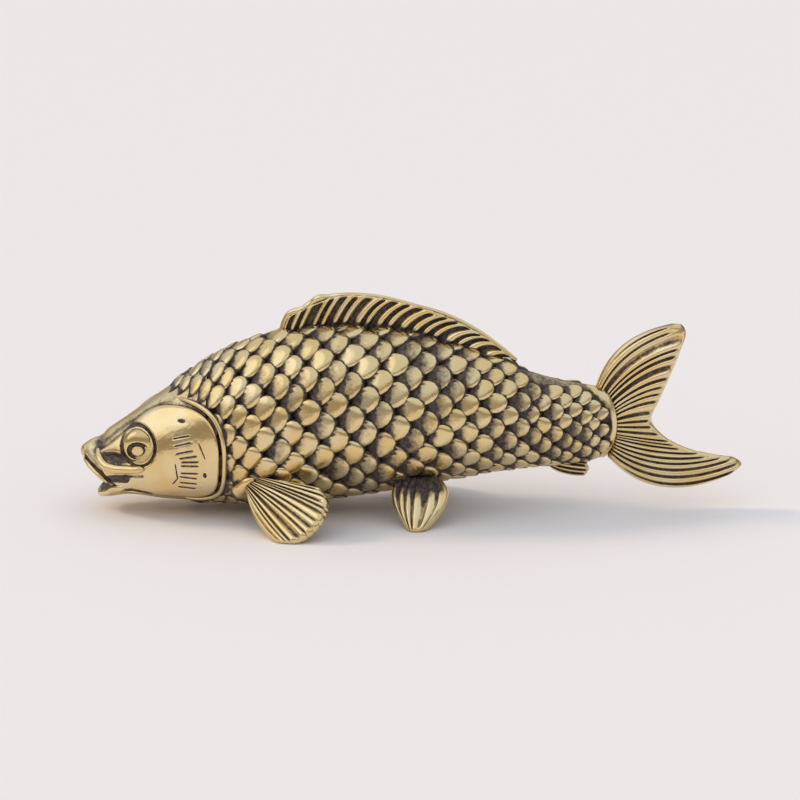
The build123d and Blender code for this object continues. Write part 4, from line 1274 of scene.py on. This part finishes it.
UPPER_LIP = [(2.75, 3.05, -0.2), (2.1, 3.6, -0.08), (1.4, 4.15, -0.08), (0.85, 4.6, -0.08)]
LOWER_LIP = [(4.6, 3.1, -0.3), (3.9, 2.9, -0.12), (3.0, 2.4, -0.1), (2.3, 1.9, -0.1)]
LIPS = [("upper", UPPER_LIP, (0.45, 0, 4.9), 0.22), ("lower", LOWER_LIP, (1.8, 0, 1.65), 0.32)]
for name, line, tip, thick in LIPS:
    left, right = (on_face(line, side) for side in (-1, 1))
    radii = [thick / 2, *[thick] * (2 * len(line) - 1), thick / 2]
    bar(name + "_lip", left + [tip] + right[::-1], radii, "trim")

# %% [markdown]
# ## Gill rims
# A thin rim follows the rear edge of each cheek plate, across a dark gutter. Its line is the plate's own
# edge, moved out by the gap, and both its ends sink into the body.

# %% Gill rims
RIM_GAP = 0.48  # mm from the edge of the cheek plate to the middle of the rim
RIM_RADIUS = 0.23
RIM_TAPER = 0.6  # how much thinner its two ends are
RIM_PROUD = 0.22
RIM_SINK = 0.5  # how much deeper its two ends are
RIM_STEPS = np.linspace(-1, 1, 20)
RIM_TURNS = np.radians(4 + 74 * RIM_STEPS)  # from below the plate to its top


def rim_line(side):
    """A line that follows the rear edge of the cheek plate at one distance."""
    line = []
    for step, turn in zip(RIM_STEPS, RIM_TURNS):
        reach = plate_reach(turn) + RIM_GAP
        at = PLATE_AT + reach * math.cos(turn)
        height = PLATE_HEIGHT + reach * math.sin(turn)
        proud = RIM_PROUD - RIM_SINK * step**6
        line.append((at, side * (flank_aside(at, height) + proud), height))
    return line


for side, word in ((-1, "left"), (1, "right")):
    radii = RIM_RADIUS * (1 - RIM_TAPER * RIM_STEPS**8)
    bar("gill_edge_" + word, rim_line(side), radii, "trim", ["gill_rim_" + word], SCALE_BRASS)

# %% [markdown]
# ## Knuckles
# Each pectoral fin grows out of a short rounded knuckle on the flank.

# %% Knuckles
KNUCKLE = [(14.4, 2.9), (14.8, 3.1), (15.2, 3.5), (15.8, 4.2), (16.4, 4.5)]
KNUCKLE_RADII = [0.35, 0.75, 0.7, 0.5, 0.2]
KNUCKLE_PROUD = 0.35
for side, word in ((-1, "left"), (1, "right")):
    line = [(at, side * (flank_aside(at, height) + KNUCKLE_PROUD), height) for at, height in KNUCKLE]
    bar("knuckle_" + word, line, KNUCKLE_RADII, "fins", material=FIN_BRASS)

# %% [markdown]
# ## Rolled edge of the dorsal fin
# The top of the sail ends in a rolled edge, thickest at the front, which sways a little from side to side.

# %% Rolled edge of the dorsal fin
DORSAL_EDGE = [
    (18.85, 16.9), (19.2, 18.0), (19.75, 18.75), (20.6, 19.05), (21.5, 19.55), (22.4, 20.2), (23.2, 20.25),
    (24.4, 20.45), (26.4, 20.45), (28.2, 20.2), (31.2, 19.45), (33.9, 18.6), (36.6, 17.3), (39.0, 15.6),
    (40.6, 14.2),
]
DORSAL_EDGE_RADII = [0.3, 0.3, 0.33, 0.3, 0.33, 0.34, 0.27, 0.25] + [0.22] * 7
DORSAL_EDGE_SWAY = 0.12  # mm to each side
edge = [(at, DORSAL_EDGE_SWAY * math.sin(3 * at), height) for at, height in DORSAL_EDGE]
bar("dorsal_edge", edge, DORSAL_EDGE_RADII, "fins", material=FIN_BRASS)

# %% [markdown]
# ## Patina
# The patina stays where a polishing wheel can't reach. A tree measures that at every point of the fish:
# it sends rays out to all sides and counts how many soon hit other metal. Open points have a value near 0
# and points in deep hollows one near 1, and the brass material turns that into bright metal and dark film.

# %% Patina
PATINA_RAYS = 24
PATINA_REACH = 1.1  # mm, roughly the depth of the relief
PATINA_GAIN = 4
RAY_LIFT = 0.02  # mm above the metal, where the rays start


def patina_tree():
    """How much of the sky each point loses to metal close by, stored with the mesh."""
    tree, given = new_tree("patina", Figure="Object", Reach="Float")
    figure = add_node(tree, "GeometryNodeObjectInfo", {"Object": given["Figure"]}).outputs["Geometry"]
    start = add_node(tree, "GeometryNodeRepeatInput", {"Iterations": PATINA_RAYS})
    end = add_node(tree, "GeometryNodeRepeatOutput")
    start.pair_with_output(end)
    # The count starts from each point's stain, which on the skull and along the free edges of the scales
    # includes painted shade.
    first = stored(tree, given["Geometry"], "patina", named(tree, "stain"))
    tree.links.new(first, start.inputs["Geometry"])
    turn = start.outputs["Iteration"]
    up = sums(tree, "MULTIPLY_ADD", turn, -2 / PATINA_RAYS, 1 - 1 / PATINA_RAYS)
    flat = sums(tree, "SQRT", sums(tree, "SUBTRACT", 1.0, sums(tree, "MULTIPLY", up, up)))
    angle = sums(tree, "MULTIPLY", turn, math.pi * (3 - math.sqrt(5)))
    aim = {
        "X": sums(tree, "MULTIPLY", flat, sums(tree, "COSINE", angle)),
        "Y": sums(tree, "MULTIPLY", flat, sums(tree, "SINE", angle)),
        "Z": up,
    }
    aim = add_node(tree, "ShaderNodeCombineXYZ", aim).outputs[0]
    normal = add_node(tree, "GeometryNodeInputNormal").outputs[0]
    place = add_node(tree, "GeometryNodeInputPosition").outputs[0]
    place = vectors(tree, "ADD", place, scaled(tree, normal, RAY_LIFT * MM))
    inputs = {"Target Geometry": figure, "Source Position": place}
    inputs |= {"Ray Direction": aim, "Ray Length": given["Reach"]}
    ray = add_node(tree, "GeometryNodeRaycast", inputs)
    facing = sums(tree, "MAXIMUM", vectors(tree, "DOT_PRODUCT", normal, aim), 0.0)
    close = sums(tree, "SUBTRACT", 1.0, sums(tree, "DIVIDE", ray.outputs["Hit Distance"], given["Reach"]))
    loss = sums(tree, "MULTIPLY", sums(tree, "MULTIPLY", facing, close), ray.outputs["Is Hit"])
    loss = sums(tree, "MULTIPLY", loss, PATINA_GAIN / PATINA_RAYS)
    total = sums(tree, "ADD", named(tree, "patina"), loss)
    grown = stored(tree, start.outputs["Geometry"], "patina", total)
    tree.links.new(grown, end.inputs["Geometry"])
    add_node(tree, "NodeGroupOutput", {"Geometry": end.outputs["Geometry"]})
    return tree


def joined_figure(pieces):
    """One mesh of all the pieces, for the rays to hit."""
    shape = bmesh.new()
    for piece in pieces:
        shape.from_mesh(piece.data)
    mesh = bpy.data.meshes.new("figure")
    shape.to_mesh(mesh)
    shape.free()
    return new_object("figure", mesh)


def age(pieces):
    """Gives every piece its patina, on top of its stains and painted shade."""
    figure = joined_figure(pieces)
    tree = patina_tree()
    for piece in pieces:
        piece.data = run_tree(tree, piece, Figure=figure, Reach=PATINA_REACH * MM)
        values = np.empty(len(piece.data.vertices))
        piece.data.attributes["patina"].data.foreach_get("value", values)
        print("patina of", piece.name, np.percentile(values, (5, 50, 95)).round(2))
    bpy.data.objects.remove(figure)


age([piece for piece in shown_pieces() if piece.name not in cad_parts])
